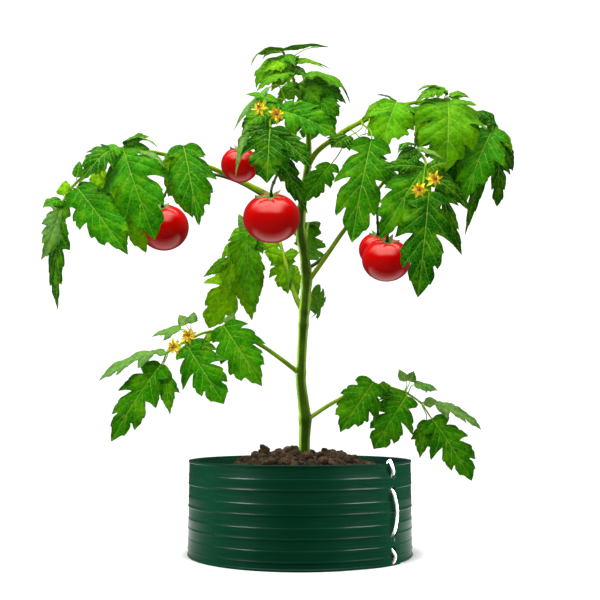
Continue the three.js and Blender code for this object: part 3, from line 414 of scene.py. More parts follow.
def frames_along(line):
    """Tangents and two normals that don't twist, at each point of a line."""
    tangents = np.gradient(line, axis=0)
    tangents /= np.linalg.norm(tangents, axis=1)[:, None]
    normals = [unit(np.cross(tangents[0], ANY_WAY))]
    for t in tangents[1:]:
        normals.append(unit(normals[-1] - t * normals[-1].dot(t)))
    normals = np.array(normals)
    return tangents, normals, np.cross(tangents, normals)


def band(rings, sides, flip=False):
    """Faces between rings of points that follow each other."""
    faces = []
    for i in range(rings - 1):
        for j in range(sides):
            a, b = i * sides + j, i * sides + (j + 1) % sides
            faces.append((a, a + sides, b + sides, b) if flip else (a, b, b + sides, a + sides))
    return faces


def closed_band(rings, sides, flip=False):
    """A band whose ends close on two points that come after its rings."""
    faces = band(rings, sides, flip)
    last, pole = (rings - 1) * sides, rings * sides
    for j in range(sides):
        a, b = (j + 1) % sides, j
        if flip:
            a, b = b, a
        faces += [(pole, a, b), (pole + 1, last + b, last + a)]
    return faces


def sheet(top, n):
    """Faces of a thin sheet from those of its top: both sides and the rim between them."""
    edges = {(f[i], f[(i + 1) % len(f)]) for f in top for i in range(len(f))}
    under = [tuple(i + n for i in f[:1] + f[:0:-1]) for f in top]
    return top + under + [(a, a + n, b + n, b) for a, b in edges if (b, a) not in edges]


class Builder:
    """Gathers vertices, faces and their attributes for one piece."""

    def __init__(self):
        self.points, self.faces, self.slots = [], [], []
        self.tone, self.vein = [], []
        self.count = 0

    def add(self, points, faces, slot=0, tone=PLAIN, vein=0.0):
        points = np.asarray(points, float)
        n = len(points)
        self.points.append(points)
        self.faces += [tuple(i + self.count for i in f) for f in faces]
        self.slots += [slot] * len(faces)
        self.tone.append(np.broadcast_to(np.asarray(tone, float), (n, 3)))
        self.vein.append(np.broadcast_to(np.asarray(vein, float), (n,)))
        self.count += n

    def piece(self, name, materials, sharp=55):
        mesh = bpy.data.meshes.new(name)
        mesh.from_pydata(np.vstack(self.points) * MM, [], self.faces)
        for material in materials:
            mesh.materials.append(material)
        mesh.polygons.foreach_set("material_index", self.slots)
        mesh.polygons.foreach_set("use_smooth", [True] * len(mesh.polygons))
        tone = mesh.attributes.new("tone", "FLOAT_COLOR", "POINT")
        colours = np.column_stack([np.vstack(self.tone), np.ones(self.count)])
        tone.data.foreach_set("color", colours.ravel())
        # this mark is pale veins on leaflets, and painted shade in the cord's grooves, the soil's hollows
        # and under its crumbs
        vein = mesh.attributes.new("vein", "FLOAT", "POINT")
        vein.data.foreach_set("value", np.concatenate(self.vein))
        mesh.set_sharp_from_angle(angle=math.radians(sharp))
        mesh.validate()
        return in_scene(name, mesh)


def own(piece, slot, *nodes):
    """Puts a piece in the frame on the root body and hides the solids it stands for; its slot is not
    used.
    """
    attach(piece, "root")
    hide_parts(*nodes)


def tube(builder, line, radii, sides, slot=0, vein=0.0, shape=None):
    """A closed bar round a line. shape(share, turns) scales its radius."""
    line = np.asarray(line, float)
    _, normals, binormals = frames_along(line)
    turns = np.arange(sides) / sides * 2 * math.pi
    radius = np.broadcast_to(np.asarray(radii, float), (len(line),))[:, None] * np.ones(sides)
    if shape:
        radius = radius * shape(np.linspace(0, 1, len(line))[:, None], turns[None, :])
    ring = (line[:, None] + normals[:, None] * (np.cos(turns)[None, :, None] * radius[..., None])
            + binormals[:, None] * (np.sin(turns)[None, :, None] * radius[..., None]))
    builder.add(np.vstack([ring.reshape(-1, 3), line[:1], line[-1:]]),
                closed_band(len(line), sides), slot, vein=vein)


HAIR_LENGTH = 1.3
HAIR_ROOT = 0.09                  # half width of its foot
HAIR_SINK = 0.97                  # share of the stem's radius where it is rooted


def hairs(builder, line, radii, per_mm, slot, draw):
    """Short stiff hairs that stand off a stem."""
    tangents, normals, binormals = frames_along(line)
    radii = np.broadcast_to(np.asarray(radii, float), (len(line),))
    for _ in range(int(run_along(line)[-1] * per_mm)):
        i = draw.randrange(len(line) - 1)
        turn = draw.random() * 2 * math.pi
        out = normals[i] * math.cos(turn) + binormals[i] * math.sin(turn)
        side = (binormals[i] * math.cos(turn) - normals[i] * math.sin(turn)) * HAIR_ROOT
        foot = line[i] + (line[i + 1] - line[i]) * draw.random() + out * radii[i] * HAIR_SINK
        length = HAIR_LENGTH * (0.5 + draw.random())
        tip = foot + out * length + tangents[i] * length * (draw.random() - 0.5) * 0.5
        back, ahead = foot - side / 2, tangents[i] * HAIR_ROOT
        builder.add([foot + side, back + ahead, back - ahead, tip],
                    [(0, 1, 3), (1, 2, 3), (2, 0, 3), (2, 1, 0)], slot)


# ---- leaflets -----------------------------------------------------------

# Half outlines from root to tip: share of the length, share of the half width, place
# among the solid outline's corners, and 1 where the outline has a point.
OUTLINES = {
    'broad': (
        (0, 0.03, 0, 0), (-0.012, 0.2, 0, 0), (0.0, 0.42, 0, 0), (0.05, 0.64, 0, 0),
        (0.09, 0.73, 0, 0), (0.145, 0.8, 0, 1), (0.165, 0.62, 0.5, 0), (0.2, 0.5, 1, 1),
        (0.24, 0.75, 1.2, 0), (0.285, 0.85, 1.4, 0), (0.33, 0.9, 1.5, 1), (0.345, 0.86, 1.6, 0),
        (0.39, 0.93, 1.7, 0), (0.43, 0.98, 1.9, 0), (0.485, 1.0, 2, 1), (0.475, 0.8, 2.5, 0),
        (0.475, 0.58, 3, 1), (0.53, 0.69, 3.2, 0), (0.585, 0.77, 3.3, 0), (0.635, 0.765, 3.4, 1),
        (0.64, 0.66, 3.5, 0), (0.69, 0.64, 3.7, 0), (0.735, 0.6, 3.9, 0), (0.79, 0.52, 4, 1),
        (0.775, 0.41, 4, 0), (0.79, 0.33, 4, 0), (0.86, 0.29, 4, 0), (0.9, 0.21, 4, 1),
        (0.905, 0.16, 4, 0), (0.95, 0.09, 4, 0), (1, 0, 4, 1),
    ),
    'deep': (
        (0, 0.03, 0, 0), (-0.012, 0.18, 0, 0), (0.0, 0.36, 0, 0), (0.04, 0.56, 0, 0),
        (0.075, 0.65, 0, 0), (0.12, 0.7, 0, 1), (0.15, 0.5, 0.5, 0), (0.175, 0.33, 1, 1),
        (0.21, 0.55, 1.2, 0), (0.255, 0.7, 1.4, 0), (0.31, 0.8, 1.6, 1), (0.33, 0.775, 1.7, 0),
        (0.37, 0.87, 1.8, 0), (0.42, 0.95, 1.9, 0), (0.485, 1.0, 2, 1), (0.47, 0.84, 2.3, 0),
        (0.445, 0.6, 2.6, 0), (0.435, 0.38, 3, 1), (0.48, 0.48, 3.2, 0), (0.545, 0.64, 3.3, 0),
        (0.6, 0.7, 3.5, 1), (0.62, 0.66, 3.6, 0), (0.665, 0.67, 3.7, 0), (0.71, 0.65, 3.9, 0),
        (0.765, 0.58, 4, 1), (0.745, 0.48, 4.3, 0), (0.725, 0.42, 4.7, 0), (0.73, 0.36, 5, 1),
        (0.78, 0.42, 5, 0), (0.83, 0.42, 5, 0), (0.88, 0.36, 5, 1), (0.885, 0.29, 5, 0),
        (0.94, 0.17, 5, 0), (1, 0, 5, 1),
    ),
    'plain': (
        (0, 0.03, 0, 0), (-0.01, 0.25, 0, 0), (0.02, 0.46, 0, 0), (0.08, 0.62, 0, 0),
        (0.13, 0.69, 0, 0), (0.2, 0.72, 0, 1), (0.22, 0.67, 0.2, 0), (0.28, 0.82, 0.5, 0),
        (0.33, 0.9, 0.7, 0), (0.38, 0.93, 0.8, 1), (0.4, 0.88, 0.9, 0), (0.45, 0.97, 1, 0),
        (0.53, 1.0, 1, 1), (0.53, 0.84, 1.5, 0), (0.55, 0.69, 2, 1), (0.6, 0.69, 2, 0),
        (0.65, 0.67, 2, 0), (0.7, 0.62, 2, 1), (0.71, 0.53, 2, 0), (0.77, 0.46, 2, 0),
        (0.81, 0.4, 2, 0), (0.86, 0.32, 2, 1), (0.87, 0.24, 2, 0), (0.94, 0.11, 2, 0),
        (1, 0, 2, 1),
    ),
    'slim': (
        (0, 0.03, 0, 0), (0.0, 0.3, 0, 0), (0.05, 0.6, 0, 0), (0.13, 0.84, 0, 0),
        (0.2, 0.96, 0, 0), (0.3, 1.0, 0, 1), (0.32, 0.88, 0.2, 0), (0.4, 0.92, 0.4, 0),
        (0.45, 0.89, 0.6, 0), (0.51, 0.82, 0.7, 1), (0.53, 0.72, 0.8, 0), (0.59, 0.72, 0.9, 0),
        (0.67, 0.62, 1, 1), (0.68, 0.5, 1, 0), (0.75, 0.43, 1, 0), (0.84, 0.29, 1, 1),
        (0.86, 0.2, 1, 0), (0.93, 0.1, 1, 0), (1, 0, 1, 1),
    ),
}
# Side veins: share of the midrib where each leaves it, and the end that it runs to.
VEINS = {
    'broad': ((0.03, 0.13, 0.72), (0.1, 0.31, 0.82), (0.19, 0.465, 0.93), (0.33, 0.615, 0.71),
              (0.46, 0.765, 0.6), (0.62, 0.88, 0.25)),
    'deep': ((0.03, 0.11, 0.62), (0.11, 0.295, 0.73), (0.2, 0.465, 0.93), (0.34, 0.585, 0.64),
             (0.46, 0.755, 0.65), (0.64, 0.86, 0.31)),
    'plain': ((0.04, 0.18, 0.64), (0.14, 0.36, 0.84), (0.27, 0.505, 0.92), (0.44, 0.68, 0.57),
              (0.6, 0.84, 0.28)),
    'slim': ((0.06, 0.28, 0.9), (0.22, 0.49, 0.74), (0.4, 0.65, 0.54), (0.58, 0.82, 0.24)),
}
FACING = (0, -1, 0.35)            # where the blades look
FOLD = 0.3                        # rise of a blade's halves, for a half width of 1
CUP = 0.5                         # fall of its margins
RIPPLE = 0.09                     # of its margins, for a half width of 1
RIPPLE_TURNS = 15
RIPPLE_SHIFT = 2                  # between the ripples of its two halves
JITTER_ALONG = 0.05               # random pull of an outline's points
JITTER_ACROSS = 0.24
NICK = 0.012                      # fine teeth of the margin
NICK_TURNS = 61
LEAF_THICK = 0.55
FULL_WIDTH = 60                   # width of a blade that has its relief in full
FINE_WIDTH = 40                   # width above which its outline is finer
LARGEST = 1.3                     # most that its relief grows with its width
VEIN_SINK = 1.05                  # depth of the furrow along a vein
VEIN_SPREAD = 2.6                 # its width
VEIN_LINE = 0.4                   # half width of the pale line itself
VEIN_BOW = 0.05                   # bend of a side vein
VEIN_FADE = 0.55                  # how much paler than its foot a vein's end is
MIDRIB = ((0.012, 0.0), (0.97, 0.0))
MIDRIB_MARK = 1.0
SIDE_MARK = 0.6
BLISTER = 1.0                     # rise of the soft cells between the veins
BLISTER_CELL = 7                  # size of those cells
MARGIN_WAVE = 0.055               # finer waves of the margin
MARGIN_CELL = 22
VEIN_STEP = 4                     # spacing of points along a vein
GRID = 3.4                        # spacing of points inside a blade
GRID_LEAST, GRID_MOST = 0.55, 1.15
OFF_MARGIN, OFF_VEINS = 0.35, 0.3    # shares of that spacing which they keep off both
MERGE = 1e-4                      # closer points than this become one
WEIGHTS = (1, 0.4, 0.05)          # of an outline's columns in the spacing of its curve
RIB_START = 0.95                  # radius of the rib under a blade, at its root
RIB_TIP = 0.22
RIB_SIDES = 7
RIB_STEPS = 26
LEAFLET_STALK = 1.15

# Tones paint how a leaflet is lit as well as its green: 'light' is painted light that brightens a
# leaflet, the lime tone is painted light shining through from behind, and 'pale' is partly a paler
# underside turned up and partly a painted grey sheen.
TONES = {
    'mid': (0.026, 0.24, 0.0003),
    'dark': (0.004, 0.12, 0.0008),
    'light': (0.1, 0.38, 0.0005),
    'lime_backlit': (0.3, 0.62, 0.0005),
    'pale': (0.19, 0.38, 0.09),
}
UNDERSIDE = (0.1, 0.25, 0.03)
UNDERSIDE_SHARE = 0.55
SHADE_LEAST, SHADE_SPREAD = 0.84, 0.32    # lightness of a leaflet among the others
WARM_SPREAD = 0.3                 # of the red in their green
VEIN_TONE = (0.3, 0.5, 0.05)


def outline_of(cut, sign, seed, fine):
    """Shares of length and of half width along one margin, with its random pulls."""
    rows = np.array(OUTLINES[cut], float)
    corners = int(rows[:, 2].max()) + 1
    pulls = [chance(seed * 31 + i * 7 + (0 if sign > 0 else 3)) - 0.5 for i in range(corners)]
    stops = [0] + [i for i in range(1, len(rows)) if rows[i, 3]]
    out = []
    for a, b in zip(stops, stops[1:]):
        part = rows[a:b + 1, :3]
        if len(part) > 2:
            dense = spline(part * WEIGHTS, fine) / WEIGHTS
        else:
            dense = part[0] + (part[1] - part[0]) * np.linspace(0, 1, fine + 1)[:, None]
        out.append(dense[:-1])
    s, v, corner = np.vstack(out + [rows[-1:, :3]]).T
    pull = np.interp(corner, np.arange(corners), pulls)
    fade = smoothstep(0, 0.12, s) * (1 - smoothstep(0.9, 1, s))
    nick = np.sin(s * NICK_TURNS + seed) * NICK * fade
    return np.column_stack([s + pull * JITTER_ALONG * fade,
                            (v * (1 + pull * JITTER_ACROSS * fade) + nick) * sign])


def segments_distance(points, starts, ends):
    """Distance from each point to the nearest of the segments, in the plane."""
    best = np.full(len(points), 1e9)
    for a, b in zip(starts, ends):
        d = b - a
        t = np.clip(((points - a) @ d) / max(d @ d, 1e-9), 0, 1)
        best = np.minimum(best, np.linalg.norm(points - a - t[:, None] * d, axis=1))
    return best


def points_inside(points, loop):
    """Which points of the plane lie inside a closed loop."""
    inside = np.zeros(len(points), bool)
    x, y = points[:, 0], points[:, 1]
    for (ax, ay), (bx, by) in zip(loop, np.roll(loop, -1, axis=0)):
        crosses = (ay > y) != (by > y)
        if crosses.any():
            at = ax + (y - ay) / (by - ay if by != ay else 1e-12) * (bx - ax)
            inside ^= crosses & (x < at)
    return inside


def noise_over(points, cell, layer):
    return np.array([noise.noise(Vector((x / cell, y / cell, layer))) for x, y in points])


class Blade:
    """A leaflet's sheet: its axes, its size and the curve that it follows."""

    def __init__(self, root, start, tip, width, roll, arch, seed):
        start, tip = np.array(start, float), np.array(tip, float)
        self.root, self.width, self.arch, self.seed = root, width, arch, seed
        self.length = np.linalg.norm(tip - root)
        self.half = width / 2
        self.size = min(width / FULL_WIDTH, LARGEST)
        self.wave = chance(seed) * 2 * math.pi
        # The share of the length that is bare stalk, and how far the blade's foot is off the line.
        self.stalk = np.linalg.norm(root - start) / self.length
        self.shift = start - (root + (tip - root) * self.stalk)
        self.flat = np.array([(1 - self.stalk) * self.length, self.half])
        along, facing, turn = unit(tip - root), unit(FACING), math.radians(roll)
        up = unit(facing - along * facing.dot(along))
        side = np.cross(along, up)
        self.along = along
        self.across = side * math.cos(turn) - up * math.sin(turn)
        self.out = up * math.cos(turn) + side * math.sin(turn)

    def surface(self, s, v):
        """Points at shares of the length from the root and of the half width."""
        edge = np.abs(v)
        ripple = np.sin(s * RIPPLE_TURNS + self.wave + np.where(v > 0, 0, RIPPLE_SHIFT))
        lift = (self.arch * self.length * 4 * s * (1 - s)
                + self.half * (FOLD * edge - CUP * edge ** 2) + self.half * RIPPLE * edge * ripple)
        moved = smoothstep(0, max(self.stalk, 0.02), s) * np.clip(1 - s, 0, 1) ** 1.3
        return (self.root + np.outer(s * self.length, self.along)
                + np.outer(v * self.half, self.across)
                + np.outer(lift, self.out) + np.outer(moved, self.shift))

    def veins(self, cut):
        """The midrib and the side veins in the flat, each with the strength of its mark."""
        runs = [(*MIDRIB, 0, MIDRIB_MARK)]
        for k, (leave, s, v) in enumerate(VEINS[cut]):
            for sign in (1, -1):
                pull = chance(self.seed * 17 + k * 5 + sign) - 0.5
                end = (s + pull * 0.02, sign * v * 0.97)
                runs.append(((leave, 0.0), end, VEIN_BOW, SIDE_MARK))
        lines = []
        for a, b, bow, mark in runs:
            a, b = np.array(a), np.array(b)
            steps = max(3, int(np.linalg.norm((b - a) * self.flat) / VEIN_STEP))
            t = np.linspace(0, 1, steps + 1)[:, None]
            path = (a + (b - a) * t + np.array([bow, 0]) * 4 * t * (1 - t) * 0.35) * self.flat
            lines.append((path[1:] if bow else path, mark))
        return lines

    def inner_points(self, margin, starts, ends, draw):
        """A loose grid of points between the margin and the veins."""
        reach, half = self.flat
        spacing = GRID * min(max(self.width / FULL_WIDTH, GRID_LEAST), GRID_MOST)
        xs = np.arange(spacing / 2, reach, spacing)
        ys = np.arange(-half * 1.1, half * 1.1, spacing)
        grid = np.array([(x + (draw.random() - 0.5) * spacing * 0.5 + (j % 2) * spacing / 2,
                          y + (draw.random() - 0.5) * spacing * 0.5)
                         for x in xs for j, y in enumerate(ys)]).reshape(-1, 2)
        near_margin = segments_distance(grid, margin, np.roll(margin, -1, axis=0))
        near_vein = segments_distance(grid, starts, ends)
        return grid[points_inside(grid, margin) & (near_margin > spacing * OFF_MARGIN)
                    & (near_vein > spacing * OFF_VEINS)]

    def cells(self, margin, lines, grid):
        """The flat blade's points, the mark of a vein on each, and its triangles."""
        count = len(margin)
        points, marks = [margin], [np.zeros(count)]
        edges = [(i, (i + 1) % count) for i in range(count)]
        for path, mark in lines:
            step = np.gradient(path, axis=0)
            normal = np.column_stack([-step[:, 1], step[:, 0]])
            normal /= np.linalg.norm(normal, axis=1)[:, None]
            aside = normal * VEIN_LINE * self.size * (0.6 + mark)
            edges += [(count + i, count + i + 1) for i in range(len(path) - 1)]
            points += [path, path + aside, path - aside]
            marks += [mark * (1 - VEIN_FADE * np.linspace(0, 1, len(path))), np.zeros(2 * len(path))]
            count += len(path) * 3
        points = np.vstack(points + [grid])
        marks = np.concatenate(marks + [np.zeros(len(grid))])
        keep = points_inside(points, margin) | (np.arange(len(points)) < len(margin))
        index = np.cumsum(keep) - 1
        edges = [(int(index[a]), int(index[b])) for a, b in edges if keep[a] and keep[b]]
        marks = marks[keep]
        places, _, faces, sources, _, _ = delaunay_2d_cdt(
            [Vector(p) for p in points[keep]], edges, [list(range(len(margin)))], 1, MERGE)
        mark = [max([marks[i] for i in ids if i < len(marks)], default=0) for ids in sources]
        return (np.array([tuple(p) for p in places]), np.array(mark),
                [tuple(f) for f in faces if len(f) == 3])

    def relief(self, flat, near_vein, near_edge):
        """Height of furrows, soft cells and a wavy margin over the curve."""
        furrow = VEIN_SINK * self.size * (1 - np.exp(-(near_vein / (VEIN_SPREAD * self.size)) ** 2))
        blister = noise_over(flat, BLISTER_CELL, self.seed * 3.1) * smoothstep(0.5, 3, near_vein)
        wave = noise_over(flat, MARGIN_CELL, self.seed * 5.3) * np.exp(-near_edge / (5 * self.size))
        return (furrow + BLISTER * self.size * blister
                + MARGIN_WAVE * self.half * wave * smoothstep(0.05, 0.2, flat[:, 0] / self.flat[0]))

    def colours(self, tone, near_vein, near_edge):
        """Colour of each point of the top and then of the underside."""
        shade = SHADE_LEAST + SHADE_SPREAD * chance(self.seed * 7 + 2)
        warm = (chance(self.seed * 11 + 5) - 0.5) * WARM_SPREAD
        colour = np.array(TONES[tone]) * shade * (1 + warm, 1, 1)
        # a lime leaflet's painted backlight shows on its underside too
        under = np.array(UNDERSIDE if tone != 'lime_backlit' else TONES['lime_backlit']) * shade
        depth = 0.82 + 0.3 * smoothstep(0, 8, near_edge) * np.exp(-near_vein / 30)
        under = UNDERSIDE_SHARE * under + (1 - UNDERSIDE_SHARE) * colour
        return np.vstack([colour * depth[:, None], np.tile(under, (len(depth), 1))])

    def rib(self, builder, depth):
        """The leaflet's stalk and the rib that it runs on as, under the blade."""
        t = np.linspace(0, 1, 9)
        neck = self.surface(self.stalk * t, np.zeros(9)) - np.outer(t, self.out) * depth
        along = self.stalk + (1 - self.stalk) * np.linspace(0, 0.9, 14)
        under = self.surface(along, np.zeros(14)) - self.out * depth
        line, share = evenly(np.vstack([[self.root], neck, under[1:]]), RIB_STEPS)
        foot = self.size ** 0.5
        radius = np.interp(share, [0, max(self.stalk, 0.02), 1],
                           [max(LEAFLET_STALK * foot, 0.85), RIB_START * foot, RIB_TIP])
        tube(builder, line, radius, RIB_SIDES, 1)


def leaflet(builder, root, row, seed, draw):
    """One leaflet from its root on the bar: stalk, blade with both faces, and its rib."""
    start, tip, width, roll, arch, cut, tone = row
    blade = Blade(root, start, tip, width, roll, arch, seed)
    fine = 3 if width > FINE_WIDTH else 2
    left, right = (outline_of(cut, sign, seed, fine) for sign in (1, -1))
    margin = np.vstack([left, right[-2:0:-1]]) * blade.flat
    lines = blade.veins(cut)
    starts = [p for path, _ in lines for p in path[:-1]]
    ends = [p for path, _ in lines for p in path[1:]]
    grid = blade.inner_points(margin, starts, ends, draw)
    flat, mark, triangles = blade.cells(margin, lines, grid)
    near_vein = segments_distance(flat, starts, ends)
    near_edge = segments_distance(flat, margin, np.roll(margin, -1, axis=0))

    share = flat / blade.flat
    depth = VEIN_SINK * blade.size * 0.5
    body = (blade.surface(blade.stalk + (1 - blade.stalk) * share[:, 0], share[:, 1])
            + np.outer(blade.relief(flat, near_vein, near_edge) - depth, blade.out))
    faces = sheet(triangles, len(body))
    a, b, c = (body[i] for i in triangles[0])
    if np.dot(np.cross(b - a, c - a), blade.out) < 0:
        faces = [f[::-1] for f in faces]
    thick = LEAF_THICK / 2
    builder.add(np.vstack([body + blade.out * thick, body - blade.out * thick]), faces, 0,
                blade.colours(tone, near_vein, near_edge), np.concatenate([mark, mark * 0.8]))
    blade.rib(builder, depth + thick)


# ---- materials ----------------------------------------------------------

SOFT = "SMOOTHSTEP"


class Nodes:
    """The node tree of a material or of the world. Most methods add a node and return its output."""

    def __init__(self, owner, shader, place):
        owner.use_nodes = True
        self.owner, self.tree = owner, owner.node_tree
        self.shader = self.tree.nodes[shader]
        self.place = self.new("TexCoord").outputs[place]

    def put(self, socket, value):
        """Sets a socket to a number, a vector or a colour, or links it to another's output."""
        if isinstance(value, bpy.types.NodeSocket):
            self.tree.links.new(value, socket)
        else:
            socket.default_value = (*value, 1) if socket.type == "RGBA" else value

    def new(self, kind, inputs=(), **settings):
        node = self.tree.nodes.new("ShaderNode" + kind)
        for name, value in settings.items():
            setattr(node, name, value)
        for name, value in dict(inputs).items():
            self.put(node.inputs[name], value)
        return node

    def axes(self):
        return self.new("SeparateXYZ", {0: self.place}).outputs

    def math(self, operation, *values):
        return self.new("Math", enumerate(values), operation=operation).outputs[0]

    def scaled(self, source, low, high, start=0.0, end=1.0, kind="LINEAR"):
        """Runs from low to high while the source runs from start to end."""
        span = {"Value": source, "From Min": start, "From Max": end, "To Min": low, "To Max": high}
        return self.new("MapRange", span, interpolation_type=kind).outputs["Result"]

    def noise(self, scale, detail=3.0, rough=0.55, where=None):
        inputs = {"Scale": scale, "Detail": detail, "Roughness": rough}
        return self.new("TexNoise", {**inputs, "Vector": where or self.place}).outputs["Fac"]

    def drawn_out(self, scale, *settings):
        """Noise that is stretched by the inverse of the scale."""
        where = self.new("Mapping", {"Vector": self.place, "Scale": scale}).outputs["Vector"]
        return self.noise(*settings, where=where)

    def attribute(self, name, output="Fac"):
        node = self.new("Attribute", attribute_name=name, attribute_type="GEOMETRY")
        return node.outputs[output]

    def ramp(self, source, *stops):
        node = self.new("ValToRGB", {"Fac": source})
        while len(node.color_ramp.elements) < len(stops):
            node.color_ramp.elements.new(0.5)
        for element, (at, colour) in zip(node.color_ramp.elements, stops):
            element.position = at
            element.color = (*colour, 1)
        return node.outputs["Color"]

    def mix(self, share, a, b, blend="MIX"):
        """A mix of two colours."""
        return self.new("Mix", {0: share, 6: a, 7: b}, data_type="RGBA", blend_type=blend).outputs[2]

    def choose(self, share, a, b):
        """The number a, or b where the share is 1."""
        return self.new("Mix", {0: share, 2: a, 3: b}, data_type="FLOAT").outputs[0]

    def blend(self, share, a, b):
        """A mix of two shaders."""
        return self.new("MixShader", {0: share, 1: a, 2: b}).outputs[0]

    def bump(self, height, distance, strength=1.0, before=None):
        inputs = {"Height": height, "Distance": distance, "Strength": strength}
        if before:
            inputs["Normal"] = before
        return self.new("Bump", inputs).outputs["Normal"]

    def finish(self, **inputs):
        """Sets the shader's own inputs."""
        for name, value in inputs.items():
            self.put(self.shader.inputs[name.replace("_", " ")], value)
        return self.owner

    def surface(self, shader):
        self.put(self.tree.nodes["Material Output"].inputs["Surface"], shader)


def new_material(name):
    return Nodes(bpy.data.materials.new(name), "Principled BSDF", "Object")


LEAF_YELLOW = (0.23, 0.53, 0.001)
LEAF_SHADOW = (0.02, 0.4, 0.1)
LEAF_MOTTLE = (0.15, 0.42, 0.05)
LEAF_NET = (0.2, 0.46, 0.03)
LEAF_LIT = (0.45, 0.75, 0.0)      # tint of the light that comes through
LEAF_THROUGH = 0.3


def leaf_material():
    """Mottled green with a fine net, pale veins and some light coming through."""
    m = new_material("leaf")
    broad = m.noise(46, 4, 0.6)
    # the tone attribute is each leaflet's green with painted light in it (see TONES)
    colour = m.mix(m.scaled(broad, 0.0, 0.55, 0.5, 0.75), m.attribute("tone", "Color"), LEAF_YELLOW)
    colour = m.mix(m.scaled(broad, 0.7, 0.0, 0.3, 0.48), colour, LEAF_SHADOW, "MULTIPLY")
    mottle = m.scaled(m.noise(230, 4, 0.6), 0.0, 0.75, 0.42, 0.7)
    colour = m.mix(mottle, colour, LEAF_MOTTLE, "MULTIPLY")
    cells = m.new("TexVoronoi", {"Vector": m.place, "Scale": 210}, feature="DISTANCE_TO_EDGE")
    net = cells.outputs["Distance"]
    colour = m.mix(m.scaled(net, 0.3, 0.0, 0.0, 0.08), colour, LEAF_NET)
    colour = m.mix(m.scaled(m.attribute("vein"), 0.0, 0.9, 0.05, 0.8), colour, VEIN_TONE)
    normal = m.bump(m.scaled(net, 0.0, 1.0, 0.0, 0.16), 0.0004, 0.3)
    normal = m.bump(m.noise(150), 0.0012, 0.25, normal)
    rough = m.scaled(m.noise(90), 0.42, 0.6, 0.3, 0.7)
    m.finish(Base_Color=colour, Roughness=rough, Normal=normal, Specular_IOR_Level=0.08,
             Specular_Tint=(0.7, 1, 0.25))
    through = m.new("BsdfTranslucent", {"Color": m.mix(0.6, colour, LEAF_LIT, "SOFT_LIGHT")})
    m.surface(m.blend(LEAF_THROUGH, m.shader.outputs[0], through.outputs[0]))
    return m.owner


def stalk_material(name, dark, light, rough=0.45, gloss=0.2):
    """Fibres along a stalk, in patches of two greens."""
    m = new_material(name)
    fibres = m.drawn_out((1, 1, 0.12), 520, 4, 0.6)
    patches = m.noise(45)
    colour = m.ramp(patches, (0.3, dark), (0.72, light))
    colour = m.mix(m.scaled(fibres, 0, 0.5, 0.4, 0.7), colour, light)
    normal = m.bump(m.noise(900, 2), 0.0002, 0.4, m.bump(fibres, 0.0004, 0.6))
    return m.finish(Base_Color=colour, Roughness=m.scaled(patches, rough, rough + 0.18),
                    Normal=normal, Specular_IOR_Level=gloss)


def fruit_material():
    """Smooth red skin with faint specks."""
    m = new_material("tomato_skin")
    colour = m.ramp(m.noise(14, 2), (0.3, (0.44, 0.0002, 0.0001)), (0.7, (0.58, 0.0005, 0.0002)))
    specks = m.scaled(m.noise(900, 2, 0.5), 0, 0.2, 0.62, 0.8)
    colour = m.mix(specks, colour, (0.75, 0.008, 0.001))
    return m.finish(Base_Color=colour, Roughness=m.scaled(m.noise(200), 0.15, 0.19),
                    Normal=m.bump(m.noise(60, 2), 0.0004, 0.08),
                    Specular_IOR_Level=0.5, Specular_Tint=(1, 0.84, 0.72),
                    Subsurface_Weight=0.02, Subsurface_Radius=(0.006, 0.001, 0.0006))


def plastic_material():
    """Dark green plastic, drawn out round the bed."""
    m = new_material("edging_plastic")
    drawn = m.drawn_out((0.15, 0.15, 3.2), 130, 3, 0.5)
    colour = m.ramp(m.noise(9), (0.3, (0.0003, 0.0085, 0.0037)), (0.7, (0.0005, 0.011, 0.0048)))
    colour = m.mix(m.scaled(drawn, 0, 0.12, 0.5, 0.75), colour, (0.001, 0.018, 0.009))
    normal = m.bump(m.noise(650, 3, 0.6), 0.00008, 0.2, m.bump(drawn, 0.0003, 0.12))
    return m.finish(Base_Color=colour, Roughness=m.scaled(drawn, 0.22, 0.3, 0.3, 0.7),
                    Normal=normal, Specular_IOR_Level=0.09)


def cord_material():
    """White fibres, with grey painted shade in the grooves between the strands."""
    m = new_material("white_cord")
    fibres = m.noise(1200, 3, 0.6)
    colour = m.ramp(fibres, (0.3, (0.7, 0.7, 0.68)), (0.7, (0.92, 0.92, 0.9)))
    # painted shade in the grooves between the strands
    colour = m.mix(m.scaled(m.attribute("vein"), 0, 0.45), colour, (0.35, 0.36, 0.34))
    return m.finish(Base_Color=colour, Roughness=m.scaled(fibres, 0.55, 0.75),
                    Normal=m.bump(fibres, 0.0003, 0.5), Sheen_Weight=0.2)


def soil_material():
    """Crumbly brown, with painted shade in its hollows and under its crumbs."""
    m = new_material("soil")
    grains = m.noise(620, 5, 0.7)
    colour = m.ramp(m.noise(55, 6, 0.62), (0.3, (0.018, 0.011, 0.005)), (0.47, (0.055, 0.033, 0.015)),
                    (0.6, (0.125, 0.08, 0.04)), (0.74, (0.27, 0.18, 0.095)))
    colour = m.mix(m.scaled(grains, 0, 0.8, 0.48, 0.68), colour, (0.025, 0.015, 0.007))
    # painted shade: near black in hollows and under crumbs
    colour = m.mix(m.scaled(m.attribute("vein"), 0, 1, 0, 0.5), colour, (0.003, 0.002, 0.001))
    normal = m.bump(m.noise(180, 4, 0.65), 0.005, 0.9, m.bump(grains, 0.002))
    return m.finish(Base_Color=colour, Roughness=m.scaled(grains, 0.75, 0.98), Normal=normal,
                    Specular_IOR_Level=0.25)


